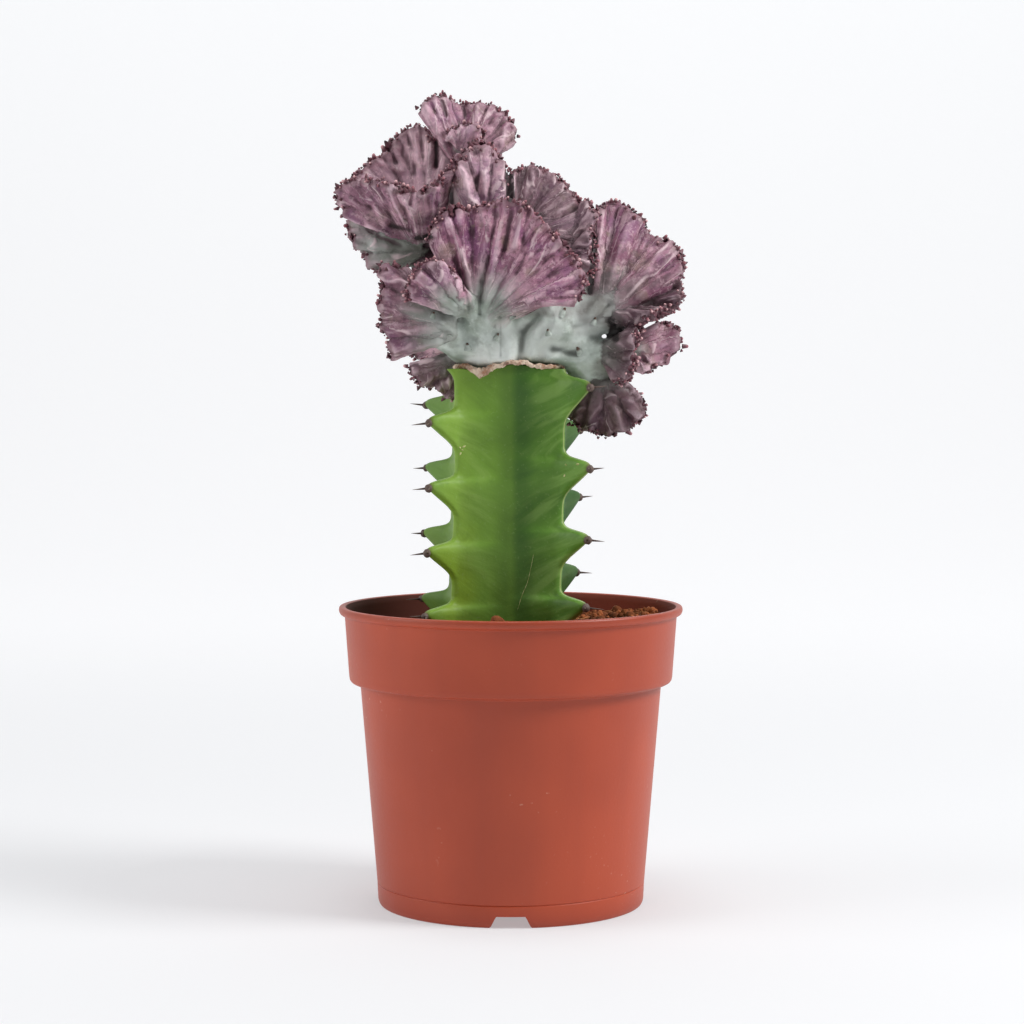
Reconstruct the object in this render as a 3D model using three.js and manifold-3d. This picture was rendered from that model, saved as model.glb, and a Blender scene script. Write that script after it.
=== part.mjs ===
// Potted euphorbia: a crested euphorbia grafted on a four-winged euphorbia stock, in a 12 cm nursery pot.
// Millimetres, +Z up. The pot's foot stands on z = 0, its axis is x = y = 0, and the plant's best side faces -Y.
import * as THREE from "three";
import { mergeVertices } from "three/addons/utils/BufferGeometryUtils.js";
import Module from "manifold-3d";

const wasm = await Module();
wasm.setup();

const GAP = 0.3; // clearance between pieces that touch
const FINEST = 0.05; // detail smaller than this is left out of a solid

// ---------------------------------------------------------------------------------------------------
// Solids: closed triangle meshes, joined and cut with manifold-3d
// ---------------------------------------------------------------------------------------------------

// A closed BufferGeometry as a solid, with its faces turned outwards.
function solidOf(geometry) {
  const loose = geometry.index ? geometry.toNonIndexed() : geometry;
  const bare = new THREE.BufferGeometry().setAttribute("position", loose.getAttribute("position"));
  const merged = mergeVertices(bare, 1e-3);
  const triVerts = new Uint32Array(merged.index.array);
  const vertProperties = merged.attributes.position.array;
  const made = new wasm.Manifold(new wasm.Mesh({ numProp: 3, vertProperties, triVerts }));
  if (made.volume() > 0) return made;
  for (let i = 0; i < triVerts.length; i += 3) triVerts.subarray(i, i + 3).reverse();
  return new wasm.Manifold(new wasm.Mesh({ numProp: 3, vertProperties, triVerts }));
}

// The largest body of a solid, without loose scraps and sealed hollows.
function mainBody(solid) {
  return solid.decompose().reduce((best, body) => (body.volume() > best.volume() ? body : best));
}

// The same solid in 32-bit numbers, without needle-thin faces or slivers that the rounding pinches off.
function rounded(solid) {
  return mainBody(solidOf(geometryOf(mainBody(solid))).simplify(FINEST));
}

function geometryOf(solid) {
  const mesh = solid.getMesh();
  const position = new Float32Array(mesh.numVert * 3);
  for (let i = 0; i < mesh.numVert; i++) {
    position.set(mesh.vertProperties.subarray(i * mesh.numProp, i * mesh.numProp + 3), i * 3);
  }
  const geometry = new THREE.BufferGeometry().setAttribute("position", new THREE.BufferAttribute(position, 3));
  geometry.setIndex(new THREE.BufferAttribute(new Uint32Array(mesh.triVerts), 1));
  geometry.computeVertexNormals();
  return geometry;
}

// A skin over closed rings of equally many points. Both ends are zipped shut, point i to point n - 1 - i.
// The second half of each ring is split along the mirrored diagonal, so a thin blade's faces match.
function skin(rings) {
  const n = rings[0].length;
  const at = (ring, i) => ring * n + (i % n);
  const index = [];
  for (let ring = 0; ring + 1 < rings.length; ring++) {
    for (let i = 0; i < n; i++) {
      const [a, b, c, d] = [at(ring, i), at(ring, i + 1), at(ring + 1, i + 1), at(ring + 1, i)];
      if (i < n / 2) index.push(a, b, c, a, c, d);
      else index.push(a, b, d, b, c, d);
    }
  }
  const last = rings.length - 1;
  for (let i = 0; i + 1 < n / 2; i++) {
    index.push(at(0, i), at(0, n - 1 - i), at(0, i + 1));
    if (n - 2 - i !== i + 1) index.push(at(0, i + 1), at(0, n - 1 - i), at(0, n - 2 - i));
    index.push(at(last, i), at(last, i + 1), at(last, n - 1 - i));
    if (n - 2 - i !== i + 1) index.push(at(last, i + 1), at(last, n - 2 - i), at(last, n - 1 - i));
  }
  const geometry = new THREE.BufferGeometry().setFromPoints(rings.flat());
  return geometry.setIndex(index);
}

// A profile of [radius, height] pairs turned about the Z axis.
function turned(profile, segments) {
  const points = profile.map(([radius, height]) => new THREE.Vector2(radius, height));
  return new THREE.LatheGeometry(points, segments).rotateX(Math.PI / 2);
}

const bell = (x, centre, width) => Math.exp(-(((x - centre) / width) ** 2));

// ---------------------------------------------------------------------------------------------------
// Pot: injection-moulded, with a deep collar, a rolled lip and a notched foot
// ---------------------------------------------------------------------------------------------------

const POT = {
  height: 104,
  lipRadius: 60,
  wall: 1.2,
  footRadius: 46,
  footWidth: 1.6,
  floorUnder: 4.2, // the floor stands clear of the surface, so that water runs out
  floorThick: 1.5,
  bodyTopRadius: 52.6,
  ledge: 77.6, // height of the collar's underside
  collarBottomRadius: 56.1,
  collarTopRadius: 57.9,
  lipHeight: 3,
  segments: 64,
};
const NOTCH = { count: 4, widthBelow: 13.9, widthAbove: 10, height: 4 };
const DRAIN = { count: 6, ringRadius: 30, radius: 3.5 };

// Inner radius of the pot's wall at a height, above and below its collar's ledge.
function potInside(z) {
  const body = (t) => THREE.MathUtils.lerp(POT.footRadius + 0.6, POT.bodyTopRadius, t) - POT.wall;
  if (z < POT.ledge + POT.wall) return body(z / POT.ledge);
  const rise = (z - POT.ledge) / (POT.height - POT.ledge);
  return THREE.MathUtils.lerp(POT.collarBottomRadius, POT.collarTopRadius + 0.1, rise) - POT.wall;
}

function potShell() {
  const floorTop = POT.floorUnder + POT.floorThick;
  const collarTop = POT.height - POT.lipHeight;
  const shelf = POT.ledge + POT.wall;
  return solidOf(
    turned(
      [
        [0, POT.floorUnder],
        [POT.footRadius - POT.footWidth - 0.8, POT.floorUnder],
        [POT.footRadius - POT.footWidth, 0],
        [POT.footRadius, 0],
        [POT.footRadius + 0.6, 1.4],
        [POT.bodyTopRadius, POT.ledge],
        [POT.collarBottomRadius - 0.7, POT.ledge],
        [POT.collarBottomRadius, POT.ledge + 1.1],
        [POT.collarTopRadius, collarTop],
        [POT.lipRadius - 0.8, collarTop + 0.2],
        [POT.lipRadius, collarTop + 1.2],
        [POT.lipRadius - 0.2, POT.height - 0.6],
        [POT.lipRadius - 1, POT.height],
        [POT.collarTopRadius - 0.6, POT.height],
        [potInside(POT.height), POT.height - 0.9],
        [potInside(shelf + 0.6), shelf + 0.6],
        [potInside(shelf + 0.6) - 0.6, shelf],
        [potInside(POT.ledge), shelf],
        [potInside(floorTop), floorTop],
        [0, floorTop],
      ],
      POT.segments,
    ),
  );
}

// One trapezoid bar that cuts two opposite notches in the foot.
function notchBar(turn) {
  const below = NOTCH.widthBelow / 2;
  const above = NOTCH.widthAbove / 2;
  const outline = new THREE.Shape([
    new THREE.Vector2(-below - 1, -1),
    new THREE.Vector2(below + 1, -1),
    new THREE.Vector2(above, NOTCH.height),
    new THREE.Vector2(-above, NOTCH.height),
  ]);
  const length = 2 * POT.lipRadius;
  const bar = new THREE.ExtrudeGeometry(outline, { depth: length, bevelEnabled: false });
  return solidOf(bar.translate(0, 0, -length / 2).rotateX(Math.PI / 2).rotateZ(turn));
}

function drainHole(turn) {
  const hole = new THREE.CylinderGeometry(DRAIN.radius, DRAIN.radius, 4 * POT.floorThick, 10);
  hole.rotateX(Math.PI / 2).translate(DRAIN.ringRadius, 0, POT.floorUnder).rotateZ(turn);
  return solidOf(hole);
}

function makePot() {
  let pot = potShell();
  for (let i = 0; i < NOTCH.count / 2; i++) pot = pot.subtract(notchBar((2 * Math.PI * i) / NOTCH.count));
  for (let i = 0; i < DRAIN.count; i++) {
    pot = pot.subtract(drainHole((2 * Math.PI * (i + 0.5)) / DRAIN.count));
  }
  return pot;
}

// ---------------------------------------------------------------------------------------------------
// Graft: the sloping, wavy cut where the crest was set on the stock
// ---------------------------------------------------------------------------------------------------

const GRAFT = { height: 186.2, callusThick: 1.3, callusRadiusX: 21, callusRadiusY: 20 };

// Height of the cut over the plan: a dip left of the middle at the front, a hump right of it.
function graftHeight(x, y) {
  const front = THREE.MathUtils.clamp(0.5 - y / 20, 0, 1);
  const waves = 0.7 * Math.sin(x / 6 + 0.8) * Math.cos(y / 7);
  return GRAFT.height + front * (2 * bell(x, 2, 6) - 2.6 * bell(x, -10, 3.4)) + waves * (1 - 0.6 * front);
}

// Everything above the cut, raised by some millimetres, inside a square column round the stem.
function aboveCut(raised) {
  const half = 48;
  const steps = 24;
  const rings = [];
  for (let i = 0; i <= steps; i++) {
    const x = -half + (2 * half * i) / steps;
    const low = [];
    const high = [];
    for (let j = 0; j <= steps; j++) {
      const y = -half + (2 * half * j) / steps;
      low.push(new THREE.Vector3(x, y, graftHeight(x, y) + raised));
      high.unshift(new THREE.Vector3(x, y, GRAFT.height + 120));
    }
    rings.push([...low, ...high]);
  }
  return solidOf(skin(rings));
}

// ---------------------------------------------------------------------------------------------------
// Stock: the four-winged lower stem, with hooked teeth and paired spines on each wing
// ---------------------------------------------------------------------------------------------------

const STOCK = {
  buriedTo: 58,
  plainBelow: 96, // no teeth lower than this, where the soil holds the stem
  top: 194, // the raw stem, before the cut
  axisX: -0.8,
  valley: 19.2, // radius in the hollow between two wings
  sinus: 26.6, // radius of a wing's edge between its teeth
  tipHalfThick: 1.9,
  toothHalfThick: 2.9,
};
// Each wing: its direction in degrees, its teeth's radius, and the heights of their tips, lowest first.
const WINGS = [
  { toward: -45, reach: 38.9, teeth: [106, 129, 153, 180.5, 203] },
  { toward: 46, reach: 37.4, teeth: [90, 114, 141, 165, 189] },
  { toward: 138, reach: 40.4, teeth: [104.5, 128, 151.5, 174, 197] },
  { toward: 225, reach: 38.4, teeth: [103, 124.5, 146.5, 168.5, 191] },
];
// A tooth's outline: share of the pitch below its tip, and share of its reach. Its upper edge is abrupt.
const TOOTH = [
  [0, 1],
  [0.1, 0.9],
  [0.25, 0.52],
  [0.4, 0.1],
  [0.55, 0],
  [0.84, 0.02],
  [0.9, 0.42],
  [0.95, 0.88],
];
const SPINE = { length: 5, radius: 0.55, splay: 40 };

// Half the thickness of a wing at a distance from the stem's axis: a broad flare that thins to the edge.
function wingHalfThick(distance, tooth) {
  const inner = STOCK.valley * Math.SQRT1_2;
  const t = THREE.MathUtils.clamp((distance - inner) / (STOCK.sinus - inner), 0, 1);
  const edge = THREE.MathUtils.lerp(STOCK.tipHalfThick, STOCK.toothHalfThick, tooth);
  return THREE.MathUtils.lerp(inner, edge, 1 - (1 - t) ** 1.8);
}

// Heights and reaches of the rings on one wing: one ring for each point of each tooth's outline.
function wingRings(wing) {
  const rings = [
    { z: STOCK.buriedTo, tooth: 0, shrink: 0.86 },
    { z: STOCK.buriedTo + 6, tooth: 0, shrink: 1 },
    { z: STOCK.plainBelow - 6, tooth: 0, shrink: 1 },
  ];
  for (let i = 0; i + 1 < wing.teeth.length; i++) {
    const [lower, upper] = [wing.teeth[i], wing.teeth[i + 1]];
    for (const [below, out] of [...TOOTH.slice(1)].reverse().concat([TOOTH[0]])) {
      rings.push({ z: upper - below * (upper - lower), tooth: out, shrink: 1 });
    }
  }
  return rings.map((r) => ({ ...r, tooth: r.z < STOCK.plainBelow + 1 ? 0 : r.tooth }));
}

// The raw stem as a skin, fattened by some millimetres all round.
function stem(fatter) {
  const perWing = WINGS.map(wingRings);
  const rings = perWing[0].map((_, k) => {
    const ring = [];
    WINGS.forEach((wing, w) => {
      const { z, tooth, shrink } = perWing[w][k];
      const reach = STOCK.sinus + (wing.reach - STOCK.sinus) * tooth;
      const direction = THREE.MathUtils.degToRad(wing.toward);
      const out = new THREE.Vector2(Math.cos(direction), Math.sin(direction));
      const across = new THREE.Vector2(-out.y, out.x);
      const put = (distance, side, height) => {
        const p = out.clone().multiplyScalar(distance).addScaledVector(across, side).multiplyScalar(shrink);
        ring.push(new THREE.Vector3(p.x + STOCK.axisX, p.y, height));
      };
      const inner = STOCK.valley * Math.SQRT1_2;
      const distances = [0.35, 0.75].map((s) => inner + s * (STOCK.sinus - inner));
      distances.push(STOCK.sinus - 1.5 + 0.8 * (reach - STOCK.sinus));
      const half = distances.map((d) => wingHalfThick(d, tooth) + fatter);
      distances.forEach((d, i) => put(d, -half[i], z));
      put(reach + fatter, 0, z);
      distances.forEach((_, i) => put(distances[2 - i], half[2 - i], z));
      const next = WINGS[(w + 1) % WINGS.length];
      const nextRing = perWing[(w + 1) % WINGS.length][k];
      const turn = ((next.toward - wing.toward + 360) % 360) / 2;
      const middle = direction + THREE.MathUtils.degToRad(turn);
      const r = (STOCK.valley + fatter) * shrink;
      const valley = [Math.cos(middle) * r + STOCK.axisX, Math.sin(middle) * r, (z + nextRing.z) / 2];
      ring.push(new THREE.Vector3(...valley));
    });
    return ring;
  });
  return solidOf(skin(rings));
}

// A pair of spines on each tooth: three-sided needles that splay to both sides of the wing.
function spines() {
  const needles = [];
  for (const wing of WINGS) {
    for (const z of wing.teeth.filter((tip) => tip > STOCK.plainBelow + 4 && tip < GRAFT.height - 8)) {
      for (const side of [-1, 1]) {
        const needle = new THREE.ConeGeometry(SPINE.radius, SPINE.length + 2, 4);
        needle.translate(0, SPINE.length / 2 - 1, 0).rotateZ(-Math.PI / 2);
        needle.rotateZ(THREE.MathUtils.degToRad(side * SPINE.splay));
        needle.translate(wing.reach - 0.6, side * 0.5, 0);
        needle.rotateZ(THREE.MathUtils.degToRad(wing.toward)).translate(STOCK.axisX, 0, z - 0.4);
        needles.push(solidOf(needle));
      }
    }
  }
  return needles;
}

function makeStock() {
  const cut = stem(0).subtract(aboveCut(0));
  return mainBody(wasm.Manifold.union([cut, ...spines()]));
}

// An upright column with the uneven outline of the callus, fattened by some millimetres.
function callusColumn(fatter) {
  const count = 36;
  const rim = [];
  for (let i = 0; i < count; i++) {
    const angle = (2 * Math.PI * i) / count;
    const uneven = 1 + 0.035 * Math.sin(5 * angle) + 0.03 * Math.sin(9 * angle + 1);
    const radiusX = GRAFT.callusRadiusX * uneven + fatter;
    const radiusY = GRAFT.callusRadiusY * uneven + fatter;
    rim.push([radiusX * Math.cos(angle), radiusY * Math.sin(angle)]);
  }
  const outline = new THREE.Shape(rim.map(([x, y]) => new THREE.Vector2(x, y)));
  const column = new THREE.ExtrudeGeometry(outline, { depth: 30, bevelEnabled: false });
  return solidOf(column.translate(0, 0, GRAFT.height - 15));
}

// The dried callus: a thin wafer between stock and crest, whose uneven edge shows as a tan line.
function makeCallus() {
  return callusColumn(0).intersect(aboveCut(GAP)).subtract(aboveCut(GAP + GRAFT.callusThick));
}

// ---------------------------------------------------------------------------------------------------
// Soil: peaty mix that fills the pot, with a mounded, lumpy top and a plain hole for the stem
// ---------------------------------------------------------------------------------------------------

const SOIL = { level: 94.5, mound: 2.4, segments: 48, topRings: [54, 47, 40, 32, 22, 10] };

function soilRise(x, y) {
  const mound = SOIL.mound * bell(x, 36, 26) - 1.8 * bell(x, -46, 18);
  const lumps = 0.55 * Math.sin(x / 3.1 + 1.3) * Math.sin(y / 3.7) + 0.35 * Math.sin(x / 1.9 - y / 2.3);
  return mound + lumps;
}

function makeSoil() {
  const floor = POT.floorUnder + POT.floorThick + GAP;
  const shelf = POT.ledge + POT.wall + GAP;
  const profile = [
    [0, floor],
    [potInside(floor) - GAP, floor],
    [potInside(POT.ledge) - GAP, shelf],
    [potInside(shelf + 1) - 1, shelf],
    [potInside(shelf + 1) - GAP, shelf + 0.9],
    [potInside(SOIL.level) - GAP, SOIL.level - 1.5],
    ...SOIL.topRings.map((radius) => [radius, SOIL.level]),
    [0, SOIL.level],
  ];
  const body = turned(profile, SOIL.segments);
  const position = body.getAttribute("position");
  for (let i = 0; i < position.count; i++) {
    if (position.getZ(i) < SOIL.level - 0.1) continue;
    position.setZ(i, SOIL.level + soilRise(position.getX(i), position.getY(i)));
  }
  return mainBody(solidOf(body).subtract(stem(GAP).translate([0, 0, -GAP])));
}

// ---------------------------------------------------------------------------------------------------
// Crest: the fan-shaped, folded scion, one grown body
// ---------------------------------------------------------------------------------------------------

// A point of the crest is given as [x, z, y]: x and z as it shows on the upright plane through the pot's
// axis to an eye VIEW.distance in front of it and VIEW.height up, and y as its real depth behind it.
const VIEW = { distance: 878, height: 183 };

function seen([x, z, y]) {
  const scale = (VIEW.distance + y) / VIEW.distance;
  return new THREE.Vector3(x * scale, y, VIEW.height + (z - VIEW.height) * scale);
}

// Limbs: [x, z, y, radius] along each fleshy arm that carries the fans.
const LIMBS = [
  [[-2, 184, -2, 18.5], [-1, 190, -3, 19.5], [-1, 197, -3, 18.5], [-3, 206, -1, 14], [-6, 214, 1, 10]],
  [[-5, 205, -2, 13], [-9, 222, 1, 10.5], [-14, 238, 2, 9], [-16, 252, 5, 7.5], [-15, 262, 8, 5]],
  [[4, 197, -9, 12], [16, 201, -14, 9], [26, 204, -15, 7], [33, 207, -15, 6], [39, 215, -13, 4.5]],
  [[8, 202, -10, 9], [18, 210, -13, 8], [25, 219, -13, 6], [26, 229, -11, 5], [26, 236, -8, 4]],
  [[10, 195, -8, 10], [20, 192.5, -11, 8.5], [28, 190.5, -13, 6.8], [34, 189.5, -14, 5.6], [38, 189, -15, 4.5]],
  [[26, 190, -13, 5], [31, 184, -12, 5], [33, 177, -10, 4]],
  [[-6, 196, -11, 11], [-18, 198, -15, 9], [-27, 200, -18, 6.5], [-33, 203, -19, 4.5]],
  [[-13, 234, 0, 8], [-24, 233, -2, 7], [-34, 231, -3, 5.5], [-42, 231, -3, 4]],
  [[-10, 212, -2, 9], [-22, 219, -5, 8], [-32, 225, -4, 6], [-40, 227, -4, 4]],
  [[0, 208, 0, 9], [5, 222, -3, 8], [9, 233, -4, 6], [12, 241, -2, 4]],
  [[0, 200, 6, 12], [-2, 210, 14, 9], [-2, 220, 20, 6]],
];

// Fans: a root, the margin's points in order along the crest line, and how far the fan bows to the front.
const FANS = {
  frontFan: {
    root: [-10, 205, -22],
    margin: [[-29, 230, -27], [-26.5, 239, -29], [-21, 243.5, -29], [-14, 242.5, -27], [-9, 244.5, -29],
      [-3, 246, -29], [3, 245.5, -31], [8, 242, -31], [13, 237, -31], [19, 231, -32], [24, 224.5, -33],
      [26.5, 217.5, -35], [23, 208.8, -36]],
    bow: 2,
  },
  crownFan: {
    root: [-15, 206, -25],
    margin: [[-37, 211, -30], [-36, 217, -34], [-33, 222.5, -35], [-28, 224.5, -35], [-23, 222, -35],
      [-18.5, 217, -34]],
    bow: 3,
  },
  leftFan: {
    root: [-20, 201, -22],
    margin: [[-36, 222, -18], [-42, 222, -19], [-46.5, 222.5, -21], [-45, 216, -23], [-46.5, 209.5, -25],
      [-46, 204.5, -25], [-46.5, 201, -24], [-43, 197, -24], [-43.5, 193, -23], [-42, 188.7, -20]],
    bow: 3,
  },
  lowerLeftFlap: {
    root: [-17, 190, -8],
    margin: [[-37, 188, -9], [-35.5, 184.5, -7], [-32, 180.5, -5], [-26.5, 179.5, -4], [-22.5, 175.5, -4],
      [-17.5, 178, -4]],
    bow: 1,
  },
  upperFrontFan: {
    root: [-32, 233, -5],
    margin: [[-55.5, 238.5, -7], [-60, 242.5, -8], [-61, 249.3, -9], [-55, 252.5, -13], [-49, 252.5, -16],
      [-42, 251, -18], [-36, 248.5, -20], [-30, 249, -20], [-25, 252, -18], [-20, 257, -15],
      [-17, 262.5, -12]],
    bow: 2,
  },
  upperBackFan: {
    root: [-30, 240, 0],
    margin: [[-60.5, 249, -6], [-56, 253, 0], [-50, 258.5, 5], [-44.5, 261.5, 8], [-40.5, 267, 10],
      [-36, 270.5, 10], [-31, 271.5, 9], [-27, 267, 5], [-24.5, 267.5, 2], [-20, 271, 2], [-14, 269, 2],
      [-9.5, 269.5, 3]],
    bow: -4,
  },
  lowerLeftWing: {
    root: [-31, 228, -3],
    margin: [[-55, 241, -3], [-57.5, 236.5, -3], [-56, 230.5, -3], [-52.5, 227, -2], [-50.5, 222.5, -1],
      [-45.5, 219.5, 0], [-40, 219, 1]],
    bow: 2,
  },
  topFan: {
    root: [-16, 256, 6],
    margin: [[-33, 275.5, 0], [-30, 279.5, 1], [-26, 281.8, 3], [-22, 280, 7], [-18, 278.8, 10],
      [-12, 278.8, 10], [-6, 278, 9], [-1, 274.5, 8], [2, 270, 7], [1, 263.3, 7]],
    bow: 2,
  },
  middleFan: {
    root: [-9, 232, -9],
    margin: [[-19.5, 251, -16], [-18, 258.5, -14], [-14.5, 264, -11], [-9.5, 265, -10], [-5, 261.5, -11],
      [-2, 257, -12], [-2.5, 249, -14]],
    bow: 3,
  },
  backRightFan: {
    root: [2, 230, -5],
    margin: [[-2.5, 253, -4], [2, 256.2, -3], [8, 257.3, -1], [14, 255, 0], [19, 251.5, 0],
      [23, 246, -2], [27, 242.5, -7], [28.5, 236, -13], [27.5, 229, -18], [26.5, 222, -20]],
    bow: 2,
  },
  rightFan: {
    root: [31, 206, -16],
    margin: [[29.5, 232, -8], [29, 240, -6], [32, 244, -5], [36.5, 245, -1], [41, 243, -5], [46, 239, -7],
      [48.5, 233.5, -5], [53, 231.7, -9], [58, 229.5, -11], [60.5, 224, -12], [60, 216.5, -14]],
    bow: 2,
  },
  rightUnderFan: {
    root: [33, 205, -17],
    margin: [[60, 217, -14], [60, 212, -17], [55, 210.5, -22], [49.5, 209.5, -25], [46.5, 205, -26],
      [45, 200, -26]],
    bow: -2,
  },
  rightSpout: {
    root: [34, 192, -16],
    margin: [[46, 206, -20], [45, 200.5, -25], [43.5, 194, -27], [43.5, 187.5, -26], [40.5, 181.5, -24],
      [35.5, 182, -21]],
    bow: 2,
  },
  rightWing: {
    root: [37, 191, -13],
    margin: [[52, 203, -12], [58, 201.8, -10], [59.8, 197, -9], [58.5, 192.5, -10], [51, 187, -13],
      [47.5, 184, -15]],
    bow: 1,
  },
  hangingFan: {
    root: [33, 182, -12],
    margin: [[21.5, 170, -5], [23.5, 165.5, -8], [28.5, 163.5, -11], [33.5, 162.5, -12], [39, 164, -13],
      [44.5, 167, -14], [47.5, 171.5, -14], [45, 175.5, -13], [40.5, 179.5, -14]],
    bow: 2,
  },
  backLeftFan: {
    root: [-12, 222, 10],
    margin: [[-43, 226, 15], [-47, 234, 21], [-42, 243, 26], [-34, 247, 27], [-27, 251, 24], [-19, 250, 27],
      [-12, 247, 31]],
    bow: -3,
  },
  backTopFan: {
    root: [-14, 252, 9],
    margin: [[-30, 262, 15], [-25, 269, 22], [-18, 271, 24], [-11, 272, 21], [-5, 268, 24], [-3, 261, 23]],
    bow: -2,
  },
  backFan: {
    root: [-1, 210, 16],
    margin: [[-21, 226, 32], [-17, 234, 36], [-10, 236, 34], [-3, 240, 37], [5, 238, 41], [12, 231, 40],
      [15, 223, 36]],
    bow: -3,
  },
  backUpperRightFan: {
    root: [8, 218, 8],
    margin: [[8, 248, 15], [15, 247, 20], [22, 241, 23], [28, 236, 20], [35, 232, 23], [40, 225, 26],
      [40, 216, 26]],
    bow: -3,
  },
  backLowerRightFan: {
    root: [8, 200, 12],
    margin: [[4, 215, 33], [13, 214, 38], [21, 209, 38], [26, 204, 34], [29, 197, 33], [26, 189, 29]],
    bow: -3,
  },
  backLowerLeftFan: {
    root: [-10, 202, 10],
    margin: [[-26, 218, 26], [-33, 213, 31], [-36, 206, 30], [-39, 200, 26], [-36, 192, 27], [-28, 187, 25]],
    bow: -3,
  },
};

const FAN = {
  segment: 4.4, // length of margin for one step
  across: [0, 0.42, 0.8, 1], // shares of the way from root to margin
  rootHalfThick: 4.4,
  marginHalfThick: 1.8,
  rootSpread: 0.16, // the root is the margin's own curve at this size
  toothHeight: 2.2,
  toothInset: 1.7, // from the margin's line, which runs through the tips of the teeth
  foldLength: 15,
  foldDepth: 1.3,
};

// The middle surface of a fan: u runs along the margin and v from the root (0) out to the margin (1).
function fanSurface(fan) {
  const curve = new THREE.CatmullRomCurve3(fan.margin.map(seen), false, "centripetal");
  const length = curve.getLength();
  const root = seen(fan.root);
  const centre = new THREE.Vector3();
  for (let i = 0; i < 20; i++) centre.addScaledVector(curve.getPointAt((i + 0.5) / 20), 1 / 20);
  const folds = Math.max(2, Math.round(length / FAN.foldLength));
  const point = (u, v) => {
    const margin = curve.getPointAt(THREE.MathUtils.clamp(u, 0, 1));
    const start = margin.clone().sub(centre).multiplyScalar(FAN.rootSpread).add(root);
    const p = start.lerp(margin, v);
    const out = THREE.MathUtils.clamp(v, 0, 1);
    const fold = FAN.foldDepth * out ** 1.5 * Math.sin(2 * Math.PI * folds * u + fan.margin.length);
    p.y += -fan.bow * Math.sin(Math.PI * out) + fold;
    return p;
  };
  return { point, length };
}

function makeFan(fan) {
  const { point, length } = fanSurface(fan);
  const steps = 2 * Math.round(length / FAN.segment / 2);
  const rings = [];
  for (let i = 0; i <= steps; i++) {
    const u = i / steps;
    const endTaper = 0.55 + 0.45 * Math.min(1, 6 * Math.min(u, 1 - u));
    const front = [];
    const back = [];
    for (const v of FAN.across) {
      const e = 0.01;
      const along = point(Math.min(1, u + e), v).sub(point(Math.max(0, u - e), v));
      const outward = point(u, v + e).sub(point(u, v - e));
      const normal = along.cross(outward).normalize();
      const thick = THREE.MathUtils.lerp(FAN.rootHalfThick, FAN.marginHalfThick, v ** 0.8) * endTaper;
      const tooth = v === 1 ? (i % 2) * FAN.toothHeight - FAN.toothInset : 0;
      const middle = point(u, v).addScaledVector(outward.normalize(), tooth);
      front.push(middle.clone().addScaledVector(normal, thick));
      back.unshift(middle.clone().addScaledVector(normal, -thick));
    }
    rings.push([...front, ...back]);
  }
  return solidOf(skin(rings));
}

// A limb: rings square to its path, with a blunt point at both ends.
function makeLimb(limb) {
  const sides = 10;
  const path = new THREE.CatmullRomCurve3(limb.map(seen), false, "centripetal");
  const steps = 2 * (limb.length - 1);
  const rings = [];
  const addRing = (t, radius, push) => {
    const tangent = path.getTangent(t);
    const side = new THREE.Vector3(0, 1, 0).cross(tangent).normalize();
    const up = tangent.clone().cross(side);
    const centre = path.getPoint(t).addScaledVector(tangent, push);
    const ring = [];
    for (let k = 0; k < sides; k++) {
      const angle = (2 * Math.PI * k) / sides;
      const offset = side.clone().multiplyScalar(Math.cos(angle)).addScaledVector(up, Math.sin(angle));
      ring.push(centre.clone().addScaledVector(offset, radius));
    }
    rings.push(ring);
  };
  const radiusAt = (t) => {
    const s = t * (limb.length - 1);
    const i = Math.min(limb.length - 2, Math.floor(s));
    return THREE.MathUtils.lerp(limb[i][3], limb[i + 1][3], s - i);
  };
  addRing(0, radiusAt(0) * 0.5, -radiusAt(0) * 0.7);
  for (let i = 0; i <= steps; i++) addRing(i / steps, radiusAt(i / steps), 0);
  addRing(1, radiusAt(1) * 0.5, radiusAt(1) * 0.7);
  return solidOf(skin(rings));
}

function makeCrest() {
  const lift = 2 * GAP + GRAFT.callusThick;
  const [trunk, ...arms] = LIMBS.map(makeLimb);
  const seated = trunk.intersect(aboveCut(lift));
  const whole = wasm.Manifold.union([seated, ...arms, ...Object.values(FANS).map(makeFan)]);
  const under = stem(2 * GAP).add(callusColumn(GAP).intersect(aboveCut(0))).subtract(aboveCut(lift));
  return whole.subtract(under);
}

// ---------------------------------------------------------------------------------------------------
// The part
// ---------------------------------------------------------------------------------------------------

function piece(name, solid, colour, roughness) {
  const material = new THREE.MeshStandardMaterial({ color: colour, roughness, metalness: 0 });
  const mesh = new THREE.Mesh(geometryOf(rounded(rounded(rounded(solid)))), material);
  mesh.name = name;
  return mesh;
}

const part = new THREE.Group();
part.add(
  piece("pot", makePot(), 0xa9553f, 0.45),
  piece("soil", makeSoil(), 0x6b3d27, 0.95),
  piece("stock", makeStock(), 0x4f7f35, 0.5),
  piece("graft_callus", makeCallus(), 0xc79a74, 0.85),
  piece("crest", makeCrest(), 0x8a6077, 0.6),
);

export default part;
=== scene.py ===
import math

import bpy
import numpy as np
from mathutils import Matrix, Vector
from mathutils.bvhtree import BVHTree


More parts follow.
